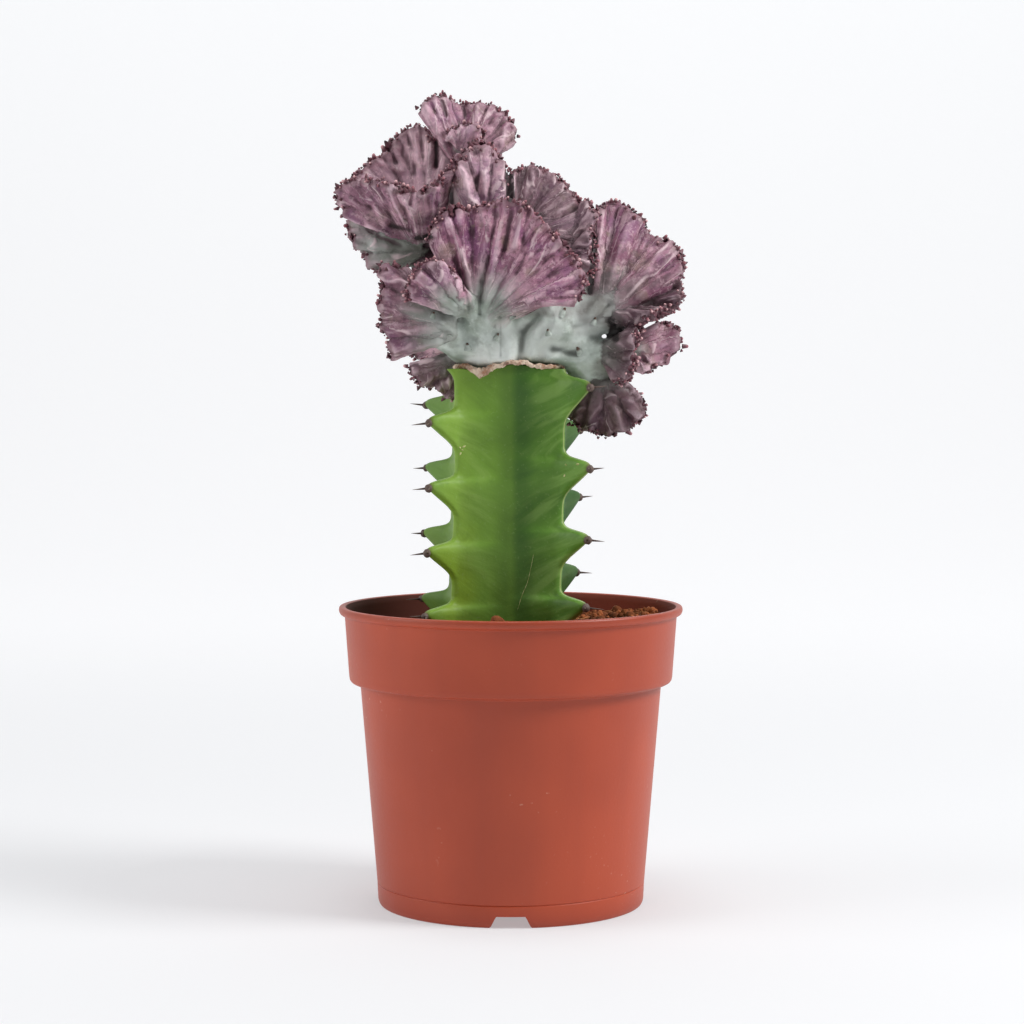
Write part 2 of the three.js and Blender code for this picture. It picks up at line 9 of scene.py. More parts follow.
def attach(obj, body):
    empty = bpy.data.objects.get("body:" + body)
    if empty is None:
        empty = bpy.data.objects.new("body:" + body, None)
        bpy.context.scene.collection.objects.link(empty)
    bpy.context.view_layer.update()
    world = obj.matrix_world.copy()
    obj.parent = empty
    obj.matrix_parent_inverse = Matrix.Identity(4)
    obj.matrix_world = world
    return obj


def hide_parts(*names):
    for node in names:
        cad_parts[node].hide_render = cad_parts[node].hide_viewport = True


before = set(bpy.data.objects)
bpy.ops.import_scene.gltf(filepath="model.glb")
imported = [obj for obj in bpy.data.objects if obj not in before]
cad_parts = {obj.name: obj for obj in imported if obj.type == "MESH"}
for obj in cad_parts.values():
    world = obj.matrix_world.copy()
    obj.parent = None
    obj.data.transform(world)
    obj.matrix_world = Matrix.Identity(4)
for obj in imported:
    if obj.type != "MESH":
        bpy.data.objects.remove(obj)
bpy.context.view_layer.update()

# Lengths below are millimetres, +Z up, with the pot's foot on z = 0 and the photographed side towards -Y.
# put_mesh turns them into Blender's metres.

# ---------------------------------------------------------------------------------------------------
# Pot: a 12 cm nursery pot, injection-moulded in terracotta-coloured polypropylene. It has a deep
# collar, a rolled lip, a foot ring with four notches, and six drainage holes in its raised floor.
# ---------------------------------------------------------------------------------------------------

MM = 0.001
POT_TURN = 480  # points round the pot
POT_PROFILE = [  # radius, height and corner radius, from the axis under the floor, outwards and back in
    (0, 4.2, 0),
    (43.6, 4.2, 0.6),
    (44.4, 0.25, 0.2),
    (45.9, 0, 0.35),
    (46.6, 1.4, 1.0),
    (46.75, 7.3, 0.12),
    (46.45, 7.55, 0.1),
    (46.8, 7.85, 0.12),
    (52.55, 77.5, 0.9),
    (55.9, 77.7, 1.1),
    (56.35, 79.2, 0.8),
    (57.9, 100.9, 0.6),
    (59.4, 101.3, 0.6),
    (60, 102.6, 0.7),
    (59.7, 104, 0.6),
    (57.6, 104, 0.6),
    (56.7, 102.4, 0.8),
    (55.2, 79.6, 0.8),
    (51.4, 78.8, 0.6),
    (45.9, 5.7, 0.8),
    (0, 5.7, 0),
]
NOTCH_TOP, NOTCH_FOOT, NOTCH_HEIGHT = 5.0, 6.9, 4.0  # half widths and height of a notch in the foot
DRAIN_RING, DRAIN_RADIUS, DRAIN_COUNT, DRAIN_TURN = 30, 3.5, 6, 24
LEDGE, LEDGE_ROWS = 40, 22  # rounded profile's last point below the collar's ledge, and rows across it


def put_mesh(name, points, faces, smooth=True, **layers):
    """A new mesh object: points in millimetres, faces as rows of indices, and layers by name, each with
    one number or one colour for each point. Points that coincide are merged, so that poles close."""
    mesh = bpy.data.meshes.new(name)
    mesh.vertices.add(len(points))
    mesh.vertices.foreach_set("co", (np.asarray(points) * MM).astype(np.float32).ravel())
    sides = faces.shape[1]
    mesh.loops.add(faces.size)
    mesh.loops.foreach_set("vertex_index", faces.astype(np.int32).ravel())
    mesh.polygons.add(len(faces))
    mesh.polygons.foreach_set("loop_start", np.arange(0, faces.size, sides, dtype=np.int32))
    for layer, values in layers.items():
        values = np.asarray(values, dtype=np.float32)
        if values.ndim == 1:
            mesh.attributes.new(layer, "FLOAT", "POINT").data.foreach_set("value", values)
        else:
            mesh.attributes.new(layer, "FLOAT_COLOR", "POINT").data.foreach_set("color", values.ravel())
    mesh.update(calc_edges=True)
    piece = bpy.data.objects.new(name, mesh)
    bpy.context.scene.collection.objects.link(piece)
    merged = finished(piece, ("WELD", dict(merge_threshold=1e-6)))
    if smooth:
        merged.data.shade_smooth()
    return merged


def finished(piece, *modifiers):
    """The piece with modifiers applied: each is a type and its settings."""
    for kind, settings in modifiers:
        modifier = piece.modifiers.new(kind.lower(), kind)
        for key, value in settings.items():
            setattr(modifier, key, value)
    depsgraph = bpy.context.evaluated_depsgraph_get()
    mesh = bpy.data.meshes.new_from_object(piece.evaluated_get(depsgraph))
    old = piece.data
    piece.modifiers.clear()
    piece.data = mesh
    mesh.name = piece.name
    bpy.data.meshes.remove(old)
    return piece


def grid_faces(rows, columns, wrap=True):
    """Rows of four indices that join point (i, j) with (i + 1, j), (i + 1, j + 1) and (i, j + 1).
    With wrap, the last column joins the first."""
    i = np.arange(rows - 1)[:, None]
    j = np.arange(columns if wrap else columns - 1)[None, :]
    k = (j + 1) % columns
    quads = [i * columns + j, (i + 1) * columns + j, (i + 1) * columns + k, i * columns + k]
    return np.stack(np.broadcast_arrays(*quads), axis=-1).reshape(-1, 4)


def rounded(corners, steps=5):
    """An outline with each corner (x, y, r) cut back by r on both sides and joined by the parabola
    (1 - t)^2 a + 2 t (1 - t) corner + t^2 b."""
    corners = np.asarray(corners, dtype=float)
    xy, cut = corners[:, :2], corners[:, 2:]
    step = np.diff(xy, axis=0)
    unit = step / np.linalg.norm(step, axis=1, keepdims=True)
    before = xy[1:-1] - unit[:-1] * cut[1:-1]
    after = xy[1:-1] + unit[1:] * cut[1:-1]
    t = np.linspace(0, 1, steps)[None, :, None]
    arcs = (1 - t) ** 2 * before[:, None] + 2 * t * (1 - t) * xy[1:-1, None] + t**2 * after[:, None]
    return np.vstack([xy[:1], arcs.reshape(-1, 2), xy[-1:]])


def lathe(profile, count):
    """Points (r cos a, r sin a, z) for each [r, z] of a profile and each of count angles a."""
    angle = np.linspace(0, 2 * np.pi, count, endpoint=False)
    r, z = profile[:, :1], profile[:, 1:]
    return np.stack([r * np.cos(angle), r * np.sin(angle), z + 0 * angle], axis=-1)


def pot_points():
    """The turned profile, with close rows across the ledge; its foot is raised to
    min(1, (foot - s) / (foot - top)) of a notch's height, where s is the distance along the ring from
    the middle of the nearest notch."""
    profile = rounded(POT_PROFILE)
    share = np.linspace(0, 1, LEDGE_ROWS + 2)[1:-1, None]
    ledge = profile[LEDGE] * (1 - share) + profile[LEDGE + 1] * share
    points = lathe(np.vstack([profile[: LEDGE + 1], ledge, profile[LEDGE + 1 :]]), POT_TURN)
    angle = np.arctan2(points[..., 1], points[..., 0])
    quarter = np.pi / 2
    along = np.abs((angle + quarter / 2) % quarter - quarter / 2) * np.hypot(points[..., 0], points[..., 1])
    lift = NOTCH_HEIGHT * np.clip((NOTCH_FOOT - along) / (NOTCH_FOOT - NOTCH_TOP), 0, 1)
    ring = np.hypot(points[..., 0], points[..., 1]) > 40
    points[..., 2] = np.where(ring & (points[..., 2] < lift), lift, points[..., 2])
    return points


def make_pot():
    """The turned wall and floor, with a ring of drainage holes cut through the floor."""
    points = pot_points()
    rows, columns = points.shape[:2]
    pot = put_mesh("pot_moulding", points.reshape(-1, 3), grid_faces(rows, columns)[:, ::-1])
    angle = (np.arange(DRAIN_COUNT) + 0.5) * 2 * np.pi / DRAIN_COUNT
    centre = np.stack([DRAIN_RING * np.cos(angle), DRAIN_RING * np.sin(angle), 0 * angle], axis=-1)
    cylinder = lathe(np.array([[0, 0], [DRAIN_RADIUS, 0], [DRAIN_RADIUS, 12], [0, 12]]), DRAIN_TURN)
    cutters = cylinder[None] + centre[:, None, None]
    one = grid_faces(4, DRAIN_TURN)[:, ::-1]
    faces = (one[None] + (np.arange(DRAIN_COUNT) * 4 * DRAIN_TURN)[:, None, None]).reshape(-1, 4)
    cutter = put_mesh("drain_cutter", cutters.reshape(-1, 3), faces)
    finished(pot, ("BOOLEAN", dict(operation="DIFFERENCE", object=cutter, solver="EXACT")))
    bpy.data.objects.remove(cutter)
    pot.data.shade_smooth()
    return finished(pot, ("EDGE_SPLIT", dict(split_angle=math.radians(60))))


def paint(red, green, blue):
    """A screen colour of 0 to 255 as the scene-linear colour that a shader reads."""
    screen = np.array([red, green, blue]) / 255
    linear = np.where(screen <= 0.04045, screen / 12.92, ((screen + 0.055) / 1.055) ** 2.4)
    return (*linear.tolist(), 1.0)


class Value:
    """A number that varies over a surface: the output of a node, with arithmetic."""

    def __init__(self, tree, socket):
        self.tree = tree
        self.socket = socket

    def sum_up(self, operation, first, second=0.0):
        node = self.tree.nodes.new("ShaderNodeMath")
        node.operation = operation
        for socket, value in zip(node.inputs, (first, second)):
            if isinstance(value, Value):
                self.tree.links.new(value.socket, socket)
            else:
                socket.default_value = value
        return Value(self.tree, node.outputs[0])

    def __add__(self, other):
        return self.sum_up("ADD", self, other)

    def __sub__(self, other):
        return self.sum_up("SUBTRACT", self, other)

    def __rsub__(self, other):
        return self.sum_up("SUBTRACT", other, self)

    def __mul__(self, other):
        return self.sum_up("MULTIPLY", self, other)

    def __abs__(self):
        return self.sum_up("ABSOLUTE", self)

    __radd__ = __add__
    __rmul__ = __mul__

    def between(self, low, high):
        """0 below low, 1 above high, and a smooth step from one to the other; low may be the higher."""
        node = self.tree.nodes.new("ShaderNodeMapRange")
        node.interpolation_type = "SMOOTHSTEP"
        self.tree.links.new(self.socket, node.inputs["Value"])
        turned_round = low > high
        node.inputs["From Min"].default_value = min(low, high)
        node.inputs["From Max"].default_value = max(low, high)
        node.inputs["To Min"].default_value = float(turned_round)
        node.inputs["To Max"].default_value = float(not turned_round)
        return Value(self.tree, node.outputs["Result"])


class Finish:
    """A material: one Principled shader, with the nodes that vary its colour, roughness and relief."""

    def __init__(self, name, **constants):
        self.material = bpy.data.materials.new(name)
        self.material.use_nodes = True
        self.tree = self.material.node_tree
        self.shader = self.tree.nodes["Principled BSDF"]
        for socket, value in constants.items():
            self.shader.inputs[socket.replace("_", " ")].default_value = value
        self.place = self.make("ShaderNodeTexCoord", output="Object")

    def make(self, kind, settings=None, inputs=None, output=0):
        """A node of a type, with its settings first and then its sockets' values or links."""
        node = self.tree.nodes.new(kind)
        for key, value in (settings or {}).items():
            setattr(node, key, value)
        for key, value in (inputs or {}).items():
            if isinstance(value, Value):
                self.tree.links.new(value.socket, node.inputs[key])
            else:
                node.inputs[key].default_value = value
        return Value(self.tree, node.outputs[output])

    def noise(self, size, detail=3.0, rough=0.5, stretch=(1, 1, 1), place=None):
        """Cloudy noise of 0 to 1 whose lumps are about size millimetres across."""
        scaled = self.make(
            "ShaderNodeMapping", inputs={"Vector": place or self.place, "Scale": stretch}
        )
        inputs = {"Vector": scaled, "Scale": 0.5 / (size * MM), "Detail": detail, "Roughness": rough}
        return self.make("ShaderNodeTexNoise", inputs=inputs)

    def layer(self, name):
        return self.make("ShaderNodeAttribute", {"attribute_name": name}, output="Fac")

    def channels(self, name):
        """The red, green and blue numbers of a colour layer, and its alpha."""
        colour = self.make("ShaderNodeAttribute", {"attribute_name": name}, output="Color")
        split = self.make("ShaderNodeSeparateColor", inputs={"Color": colour})
        node = split.socket.node
        alpha = Value(self.tree, colour.socket.node.outputs["Alpha"])
        return [Value(self.tree, node.outputs[i]) for i in range(3)] + [alpha]

    def along(self, axis):
        """A point's X, Y or Z in millimetres."""
        split = self.make("ShaderNodeSeparateXYZ", inputs={"Vector": self.place}, output=axis)
        return split * (1 / MM)

    def radius_of(self):
        flat = self.make("ShaderNodeVectorMath", {"operation": "MULTIPLY"}, {0: self.place, 1: (1, 1, 0)})
        length = self.make("ShaderNodeVectorMath", {"operation": "LENGTH"}, {0: flat}, output="Value")
        return length * (1 / MM)

    def blend(self, amount, below, above):
        """The colour below where amount is 0 and above where it is 1."""
        node = self.make("ShaderNodeMix", {"data_type": "RGBA"}, {0: amount}, output=2).socket.node
        for index, colour in ((6, below), (7, above)):
            if isinstance(colour, Value):
                self.tree.links.new(colour.socket, node.inputs[index])
            else:
                node.inputs[index].default_value = colour
        return Value(self.tree, node.outputs[2])

    def coats(self, colour, *coats):
        """The colour under thin coats, each an amount of 0 to 1 and a screen colour."""
        for amount, screen in coats:
            colour = self.blend(amount, colour, paint(*screen))
        return colour

    def finish(self, colour=None, roughness=None, relief=None, depth=0.1):
        """Feeds the shader; relief of 0 to 1 raises the surface by depth millimetres."""
        if colour:
            self.tree.links.new(colour.socket, self.shader.inputs["Base Color"])
        if roughness:
            self.tree.links.new(roughness.socket, self.shader.inputs["Roughness"])
        if relief:
            bump = self.make("ShaderNodeBump", inputs={"Height": relief, "Distance": depth * MM})
            self.tree.links.new(bump.socket, self.shader.inputs["Normal"])
        return self.material


def pot_plastic():
    finish = Finish("terracotta_plastic", Specular_IOR_Level=0.5)
    clouds = finish.noise(28, detail=2)
    streaks = finish.noise(6, detail=3, stretch=(1, 1, 0.12))
    grain = finish.noise(0.5, detail=2)
    dust = finish.noise(0.7, detail=1, rough=0.3).between(0.72, 0.78) * finish.noise(14).between(0.5, 0.7)
    height = finish.along("Z")
    colour = finish.blend(clouds.between(0.3, 0.7), paint(168, 63, 32), paint(183, 73, 40))
    colour = finish.coats(
        colour,
        (streaks.between(0.35, 0.75) * 0.25, (156, 60, 36)),
        (height.between(9, 0) * 0.4, (146, 54, 34)),
        (height.between(101.5, 103.5) * 0.35, (120, 52, 36)),
        (dust * 0.45, (205, 150, 125)),
    )
    # Painted shade: the inner wall above the soil is painted dark brown, a little less dark towards the
    # right; the same mask makes it rougher.
    wall = finish.radius_of() - height * 0.082
    inside = wall.between(49.2, 48.9) * height.between(80, 84)
    inside_shade = 0.85 - finish.along("X").between(5, 45) * 0.35
    colour = finish.blend(inside * inside_shade, colour, paint(58, 27, 17))
    roughness = 0.34 + 0.12 * clouds + 0.1 * grain + 0.4 * inside
    relief = grain * 0.25 + clouds * 0.8 + finish.noise(5, detail=1) * 0.35
    return finish.finish(colour, roughness, relief, depth=0.12)


pot = make_pot()
pot.data.materials.append(pot_plastic())
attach(pot, "root")
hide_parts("pot")

# ---------------------------------------------------------------------------------------------------
# Soil: reddish-brown peat and coir, pressed in by hand. Its top is lumpy and mounded to the right,
# with loose crumbs and short fibres lying on it.
# ---------------------------------------------------------------------------------------------------

SOIL_LEVEL, SOIL_RADIUS = 94.5, 56.0
SOIL_MOUND, SOIL_DIP, SOIL_HEAP, SOIL_BANK = 2.4, 1.8, 4.2, 3.4
SOIL_TURN, SOIL_RINGS = 420, 130  # points round the soil and out from its middle
CRUMBS, FIBRES = 1500, 150
CLODS = [  # x, y, z and size of the large crumbs heaped against the front of the stem
    (-4.5, -27.5, 100.2, 2.7),
    (-1.6, -28.5, 98.6, 2.2),
    (-8.0, -28.0, 98.2, 2.3),
    (-4.8, -30.5, 97.2, 2.4),
    (-12.5, -27.0, 97.0, 2.0),
    (3.5, -28.0, 96.8, 2.2),
]


def waves(x, y, size, seed, count=9):
    """Even noise of about -1 to 1: the mean of count sine waves of length 0.7 to 1.5 size that run in
    random directions, times 1.6."""
    rng = np.random.default_rng(seed)
    turn = rng.uniform(0, 2 * np.pi, count)
    pitch = 2 * np.pi / (size * rng.uniform(0.7, 1.5, count))
    start = rng.uniform(0, 2 * np.pi, count)
    across = x[..., None] * np.cos(turn) + y[..., None] * np.sin(turn)
    return 1.6 * np.mean(np.sin(across * pitch + start), axis=-1)


def bell(x, centre, width):
    return np.exp(-(((x - centre) / width) ** 2))


def soil_height(x, y):
    """Level, plus a mound to the right that climbs the wall, a dip to the left, a heap against the
    stem's front, and lumps of three sizes."""
    mound = SOIL_MOUND * bell(x, 36, 26) - SOIL_DIP * bell(x, -46, 18)
    mound = mound + SOIL_HEAP * bell(x, -1, 17) * bell(y, -24.5, 6) + SOIL_BANK * bell(x, 52, 13)
    lumps = 0.9 * waves(x, y, 13, 3) + 0.6 * np.abs(waves(x, y, 6, 4)) + 0.35 * waves(x, y, 2.4, 5)
    return SOIL_LEVEL + mound + lumps


def tapered(paths, radii, sides=6):
    """Rods along paths[i, j] with radii[i, j]: point k of ring j is path + radius (cos a side + sin a up),
    where side and up are square to the path. Returns points and faces of all the rods together."""
    along = np.gradient(paths, axis=1)
    along /= np.linalg.norm(along, axis=2, keepdims=True) + 1e-9
    helper = np.where(np.abs(along[..., 2:]) > 0.85, [1.0, 0.0, 0.0], [0.0, 0.0, 1.0])
    side = np.cross(along, helper)
    side /= np.linalg.norm(side, axis=2, keepdims=True)
    up = np.cross(side, along)
    angle = np.linspace(0, 2 * np.pi, sides, endpoint=False)
    ring = side[:, :, None] * np.cos(angle)[:, None] + up[:, :, None] * np.sin(angle)[:, None]
    points = paths[:, :, None] + radii[:, :, None, None] * ring
    count, rings = paths.shape[:2]
    one = grid_faces(rings, sides)[:, ::-1]
    faces = (one[None] + (np.arange(count) * rings * sides)[:, None, None]).reshape(-1, 4)
    return points, faces


def make_soil():
    """The fill: its lumpy top, then down inside the pot's wall and across its floor."""
    radius = np.concatenate([[0], np.linspace(0.6, SOIL_RADIUS, SOIL_RINGS)])
    angle = np.linspace(0, 2 * np.pi, SOIL_TURN, endpoint=False)
    x, y = radius[:, None] * np.cos(angle), radius[:, None] * np.sin(angle)
    top = np.stack([x, y, soil_height(x, y)], axis=-1)
    under = np.array([[SOIL_RADIUS - 0.2, 90], [54.6, 79.6], [51.2, 79.2], [45.6, 6.2], [0, 6.2]])
    points = np.concatenate([top, lathe(under, SOIL_TURN)])
    return put_mesh("soil_fill", points.reshape(-1, 3), grid_faces(len(points), SOIL_TURN))


def scattered_on_soil(rng, count):
    """Random points on the soil between the stem and the pot's wall."""
    angle = rng.uniform(0, 2 * np.pi, count)
    radius = 22 + (SOIL_RADIUS - 24) * rng.uniform(0, 1, count) ** 0.8
    x, y = radius * np.cos(angle), radius * np.sin(angle)
    return np.stack([x, y, soil_height(x, y)], axis=-1)


def make_crumbs(rng):
    """Lumps as rods of six rings, radius sin(pi t)^0.7 with a random lumpiness, about as long as wide."""
    place = scattered_on_soil(rng, CRUMBS)
    size = rng.gamma(2.2, 0.32, CRUMBS).clip(0.25, 2.1)
    heading = rng.normal(size=(CRUMBS, 3)) * [1, 1, 0.5]
    heading /= np.linalg.norm(heading, axis=1, keepdims=True)
    t = np.linspace(0, 1, 6)
    place[: len(CLODS)], size[: len(CLODS)] = np.array(CLODS)[:, :3], np.array(CLODS)[:, 3]
    paths = place[:, None] + heading[:, None] * (size[:, None] * (t - 0.5) * 2.0)[..., None]
    paths[..., 2] += 0.25 * size[:, None]
    radii = size[:, None] * np.sin(np.pi * t) ** 0.7 * rng.uniform(0.55, 1.1, (CRUMBS, 6))
    radii[:, [0, -1]] = 0
    points, faces = tapered(paths, radii, 6)
    chance = np.broadcast_to(rng.uniform(0, 1, CRUMBS)[:, None, None], points.shape[:3])
    return put_mesh("soil_crumbs", points.reshape(-1, 3), faces, smooth=False, chance=chance.ravel())


def make_fibres(rng):
    """Coir fibres: start + t heading + t (1 - t) bend, thinning to both ends."""
    place = scattered_on_soil(rng, FIBRES)
    length = rng.uniform(4, 13, FIBRES)[:, None, None]
    angle = rng.uniform(0, 2 * np.pi, FIBRES)
    heading = np.stack([np.cos(angle), np.sin(angle), rng.uniform(-0.05, 0.16, FIBRES)], axis=-1)
    bend = rng.normal(size=(FIBRES, 3)) * [0.35, 0.35, 0.15]
    t = np.linspace(0, 1, 9)[None, :, None]
    paths = place[:, None] + length * ((t - 0.5) * heading[:, None] + t * (1 - t) * bend[:, None] * 1.5)
    reach = np.hypot(paths[..., 0], paths[..., 1])[..., None]
    paths[..., :2] *= np.minimum(1, (SOIL_RADIUS - 1.5) / reach)
    paths[..., 2] = np.maximum(paths[..., 2], soil_height(paths[..., 0], paths[..., 1])) + 0.35
    radii = rng.uniform(0.1, 0.24, FIBRES)[:, None] * np.sin(np.pi * np.linspace(0.04, 0.96, 9)) ** 0.4
    radii[:, [0, -1]] = 0
    points, faces = tapered(paths, radii, 5)
    chance = np.broadcast_to(rng.uniform(0, 1, FIBRES)[:, None, None], points.shape[:3])
    return put_mesh("soil_fibres", points.reshape(-1, 3), faces, chance=chance.ravel())


def peat(name, dark, light, chance=False):
    finish = Finish(name, Roughness=0.95, Specular_IOR_Level=0.2)
    clods = finish.noise(7, detail=5, rough=0.65)
    grit = finish.noise(0.9, detail=4, rough=0.7)
    tone = 0.55 * clods + 0.45 * grit
    if chance:
        tone = tone * 0.4 + finish.layer("chance") * 0.6
    colour = finish.blend(tone.between(0.32, 0.72), dark, light)
    colour = finish.blend(finish.along("X").between(8, 45) * 0.35, colour, paint(176, 100, 58))
    return finish.finish(colour, relief=grit * 0.6 + clods, depth=1.1)


soil_chance = np.random.default_rng(11)
soil = make_soil()
soil.data.materials.append(peat("peat", paint(58, 32, 20), paint(138, 76, 44)))
crumbs = make_crumbs(soil_chance)
crumbs.data.materials.append(peat("peat_crumbs", paint(52, 29, 18), paint(165, 96, 58), chance=True))
fibres = make_fibres(soil_chance)
fibres.data.materials.append(peat("coir_fibres", paint(120, 66, 36), paint(205, 150, 102), chance=True))
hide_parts("soil")
for piece in (soil, crumbs, fibres):
    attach(piece, "root")

# ---------------------------------------------------------------------------------------------------
# Stock: the lower stem, a succulent grown with four winged edges. Its faces are broad and flat with a
# shallow valley, and each wing carries hooked teeth with a dark pad and a pair of grey-brown spines.
# ---------------------------------------------------------------------------------------------------

GRAFT_HEIGHT = 186.2
STOCK_FOOT, STOCK_AXIS_X, STOCK_LEAN = 60.0, -0.8, 0.03  # the stem leans a little below z = 150
VALLEY, VALLEY_AT_CUT = 17.4, 19.2  # radii in the hollow between wings
WING_EDGE, TOOTH_EDGE = 1.3, 2.6  # half thickness
WINGS = [  # direction in degrees, radii at an edge between teeth and at the teeth's tips, tips' heights
    (-45, 26.7, 39.6, [106, 129, 153, 180.5, 207]),
    (46, 26.6, 37.4, [90, 114, 141, 165, 195]),
    (138, 26.4, 40.4, [104.5, 128, 151.5, 174, 199]),
    (225, 25.3, 38.6, [103, 124.5, 146.5, 168.5, 194.5]),
]
TOOTH_SHARE = [0, 0.04, 0.1, 0.2, 0.3, 0.38, 0.46, 0.55, 0.76, 0.82, 0.86, 0.885, 0.91, 0.94, 1]
TOOTH_REACH = [1, 0.95, 0.8, 0.54, 0.28, 0.12, 0.03, 0, 0, 0.05, 0.14, 0.34, 0.68, 0.9, 1]  # down from a tip
FLANK = 15  # points from the valley to a wing's edge
EYE_DISTANCE, EYE_HEIGHT = 878, 183  # where the photograph was taken from, in front of the pot's axis
LATEX = [(-17.6, 159.0), (-16.9, 158.2), (-17.5, 156.9), (-16.3, 159.4), (19.2, 153.1), (23.3, 153.2),
         (18.7, 149.3)]
SCRATCH = [(8.0, 121.9), (6.9, 116.6), (5.8, 112.0), (3.9, 107.4), (2.3, 102.1)]


def graft_height(x, y):
    """The cut's height: a dip left of the middle at the front, a hump right of it, and slow waves."""
    front = np.clip(0.5 - y / 20, 0, 1)
    slow = 0.7 * np.sin(x / 6 + 0.8) * np.cos(y / 7)
    return GRAFT_HEIGHT + front * (2 * bell(x, 2, 6) - 2.6 * bell(x, -10, 3.4)) + slow * (1 - 0.6 * front)


def step(x, low, high):
    """Smooth step from 0 at low to 1 at high."""
    t = ((x - low) / (high - low)).clip(0, 1)
    return t * t * (3 - 2 * t)


def stem_axis(z):
    return STOCK_AXIS_X + STOCK_LEAN * np.minimum(0, z - 150)


def tooth_profile(z, tips):
    """How far a wing reaches out at each height: 0 at the sinus and 1 at a tip, rounded a little."""
    tips = np.array([tips[0] - 24] + tips)
    upper = np.searchsorted(tips, z).clip(1, len(tips) - 1)
    share = ((tips[upper] - z) / (tips[upper] - tips[upper - 1])).clip(0, 1)
    reach = np.interp(share, TOOTH_SHARE, TOOTH_REACH)
    kernel = np.hanning(7) / np.hanning(7).sum()
    return np.convolve(np.pad(reach, 3, mode="edge"), kernel, mode="valid")


def stock_section():
    """Points [height, place round the stem, xyz] and their marks. On a wing, point q of a flank lies at
    inner + (outer - inner) q, and its half thickness is lerp(inner, edge, 1 - (1 - t)^1.2), with t the
    share of the way from the valley to the sinus, rounded off to 0 at the edge. The marks are q, how
    far out on a tooth the point lies, and the tooth's own reach at that height."""
    z = np.concatenate([np.linspace(STOCK_FOOT, 94, 24), np.arange(94.35, 187, 0.35)])
    q = 1 - (1 - np.linspace(0, 1, FLANK)) ** 1.35
    inner = (VALLEY + (VALLEY_AT_CUT - VALLEY) * step(z, 168, 186))[:, None] * math.sqrt(0.5)
    rows, marks = [], []
    for toward, sinus, tip_radius, tips in WINGS:
        tooth = tooth_profile(z, tips) * np.clip((z - 95) / 4, 0, 1)
        outer = sinus + (tip_radius - sinus) * tooth
        distance = inner + (outer[:, None] - inner) * q
        t = ((distance - inner) / (sinus - inner)).clip(0, 1)
        edge = WING_EDGE + (TOOTH_EDGE - WING_EDGE) * tooth[:, None]
        half = inner + (edge - inner) * (1 - (1 - t) ** 1.2)
        beyond = ((distance - sinus) / (tip_radius - sinus)).clip(0, 1)
        half *= 1 - 0.5 * beyond**1.5
        half *= np.sqrt(1 - ((q - 0.9).clip(0, 1) / 0.1) ** 2)
        half += 0.5 * np.sin(np.pi * q) * (tooth[:, None] ** 0.7 - 0.35)
        half[:, -1] = 0
        turn = math.radians(toward)
        out = np.array([math.cos(turn), math.sin(turn)])
        across = np.array([-out[1], out[0]])
        for side in (-1, 1):
            order = slice(None) if side < 0 else slice(-2, 0, -1)
            flat = distance[:, order, None] * out + side * half[:, order, None] * across
            rows.append(flat)
            shown = np.broadcast_to(q[order], flat.shape[:2])
            marks.append(np.stack([shown, beyond[:, order] * shown, tooth[:, None] + 0 * shown], axis=-1))
    flat = np.concatenate(rows, axis=1)
    flat[..., 0] += stem_axis(z)[:, None]
    height = np.broadcast_to(z[:, None], flat.shape[:2])
    cut = graft_height(flat[..., 0], flat[..., 1])
    top = 183.0
    height = np.where(height > top, top + (height - top) * (cut - top) / (z[-1] - top), height)
    return np.concatenate([flat, height[..., None]], axis=-1), np.concatenate(marks, axis=1)


def make_stock():
    points, marks = stock_section()
    middle = np.array([STOCK_AXIS_X, 0, 0])
    lid, low = [], []
    for share in (0.8, 0.5, 0.25, 0):
        ring = points[-1] * [share, share, 1] + middle * (1 - share)
        ring[:, 2] = graft_height(ring[:, 0], ring[:, 1])
        lid.append(ring)
        low.insert(0, points[0] * [share, share, 1] + middle * (1 - share))
    whole = np.concatenate([np.array(low), points, np.array(lid)])
    shades = np.concatenate([marks[:1].repeat(4, 0), marks, marks[-1:].repeat(4, 0)])
    shades = np.concatenate([shades, np.ones(shades.shape[:2] + (1,))], axis=-1)
    faces = grid_faces(*whole.shape[:2])[:, ::-1]
    return put_mesh("stock_stem", whole.reshape(-1, 3), faces, growth=shades.reshape(-1, 4))


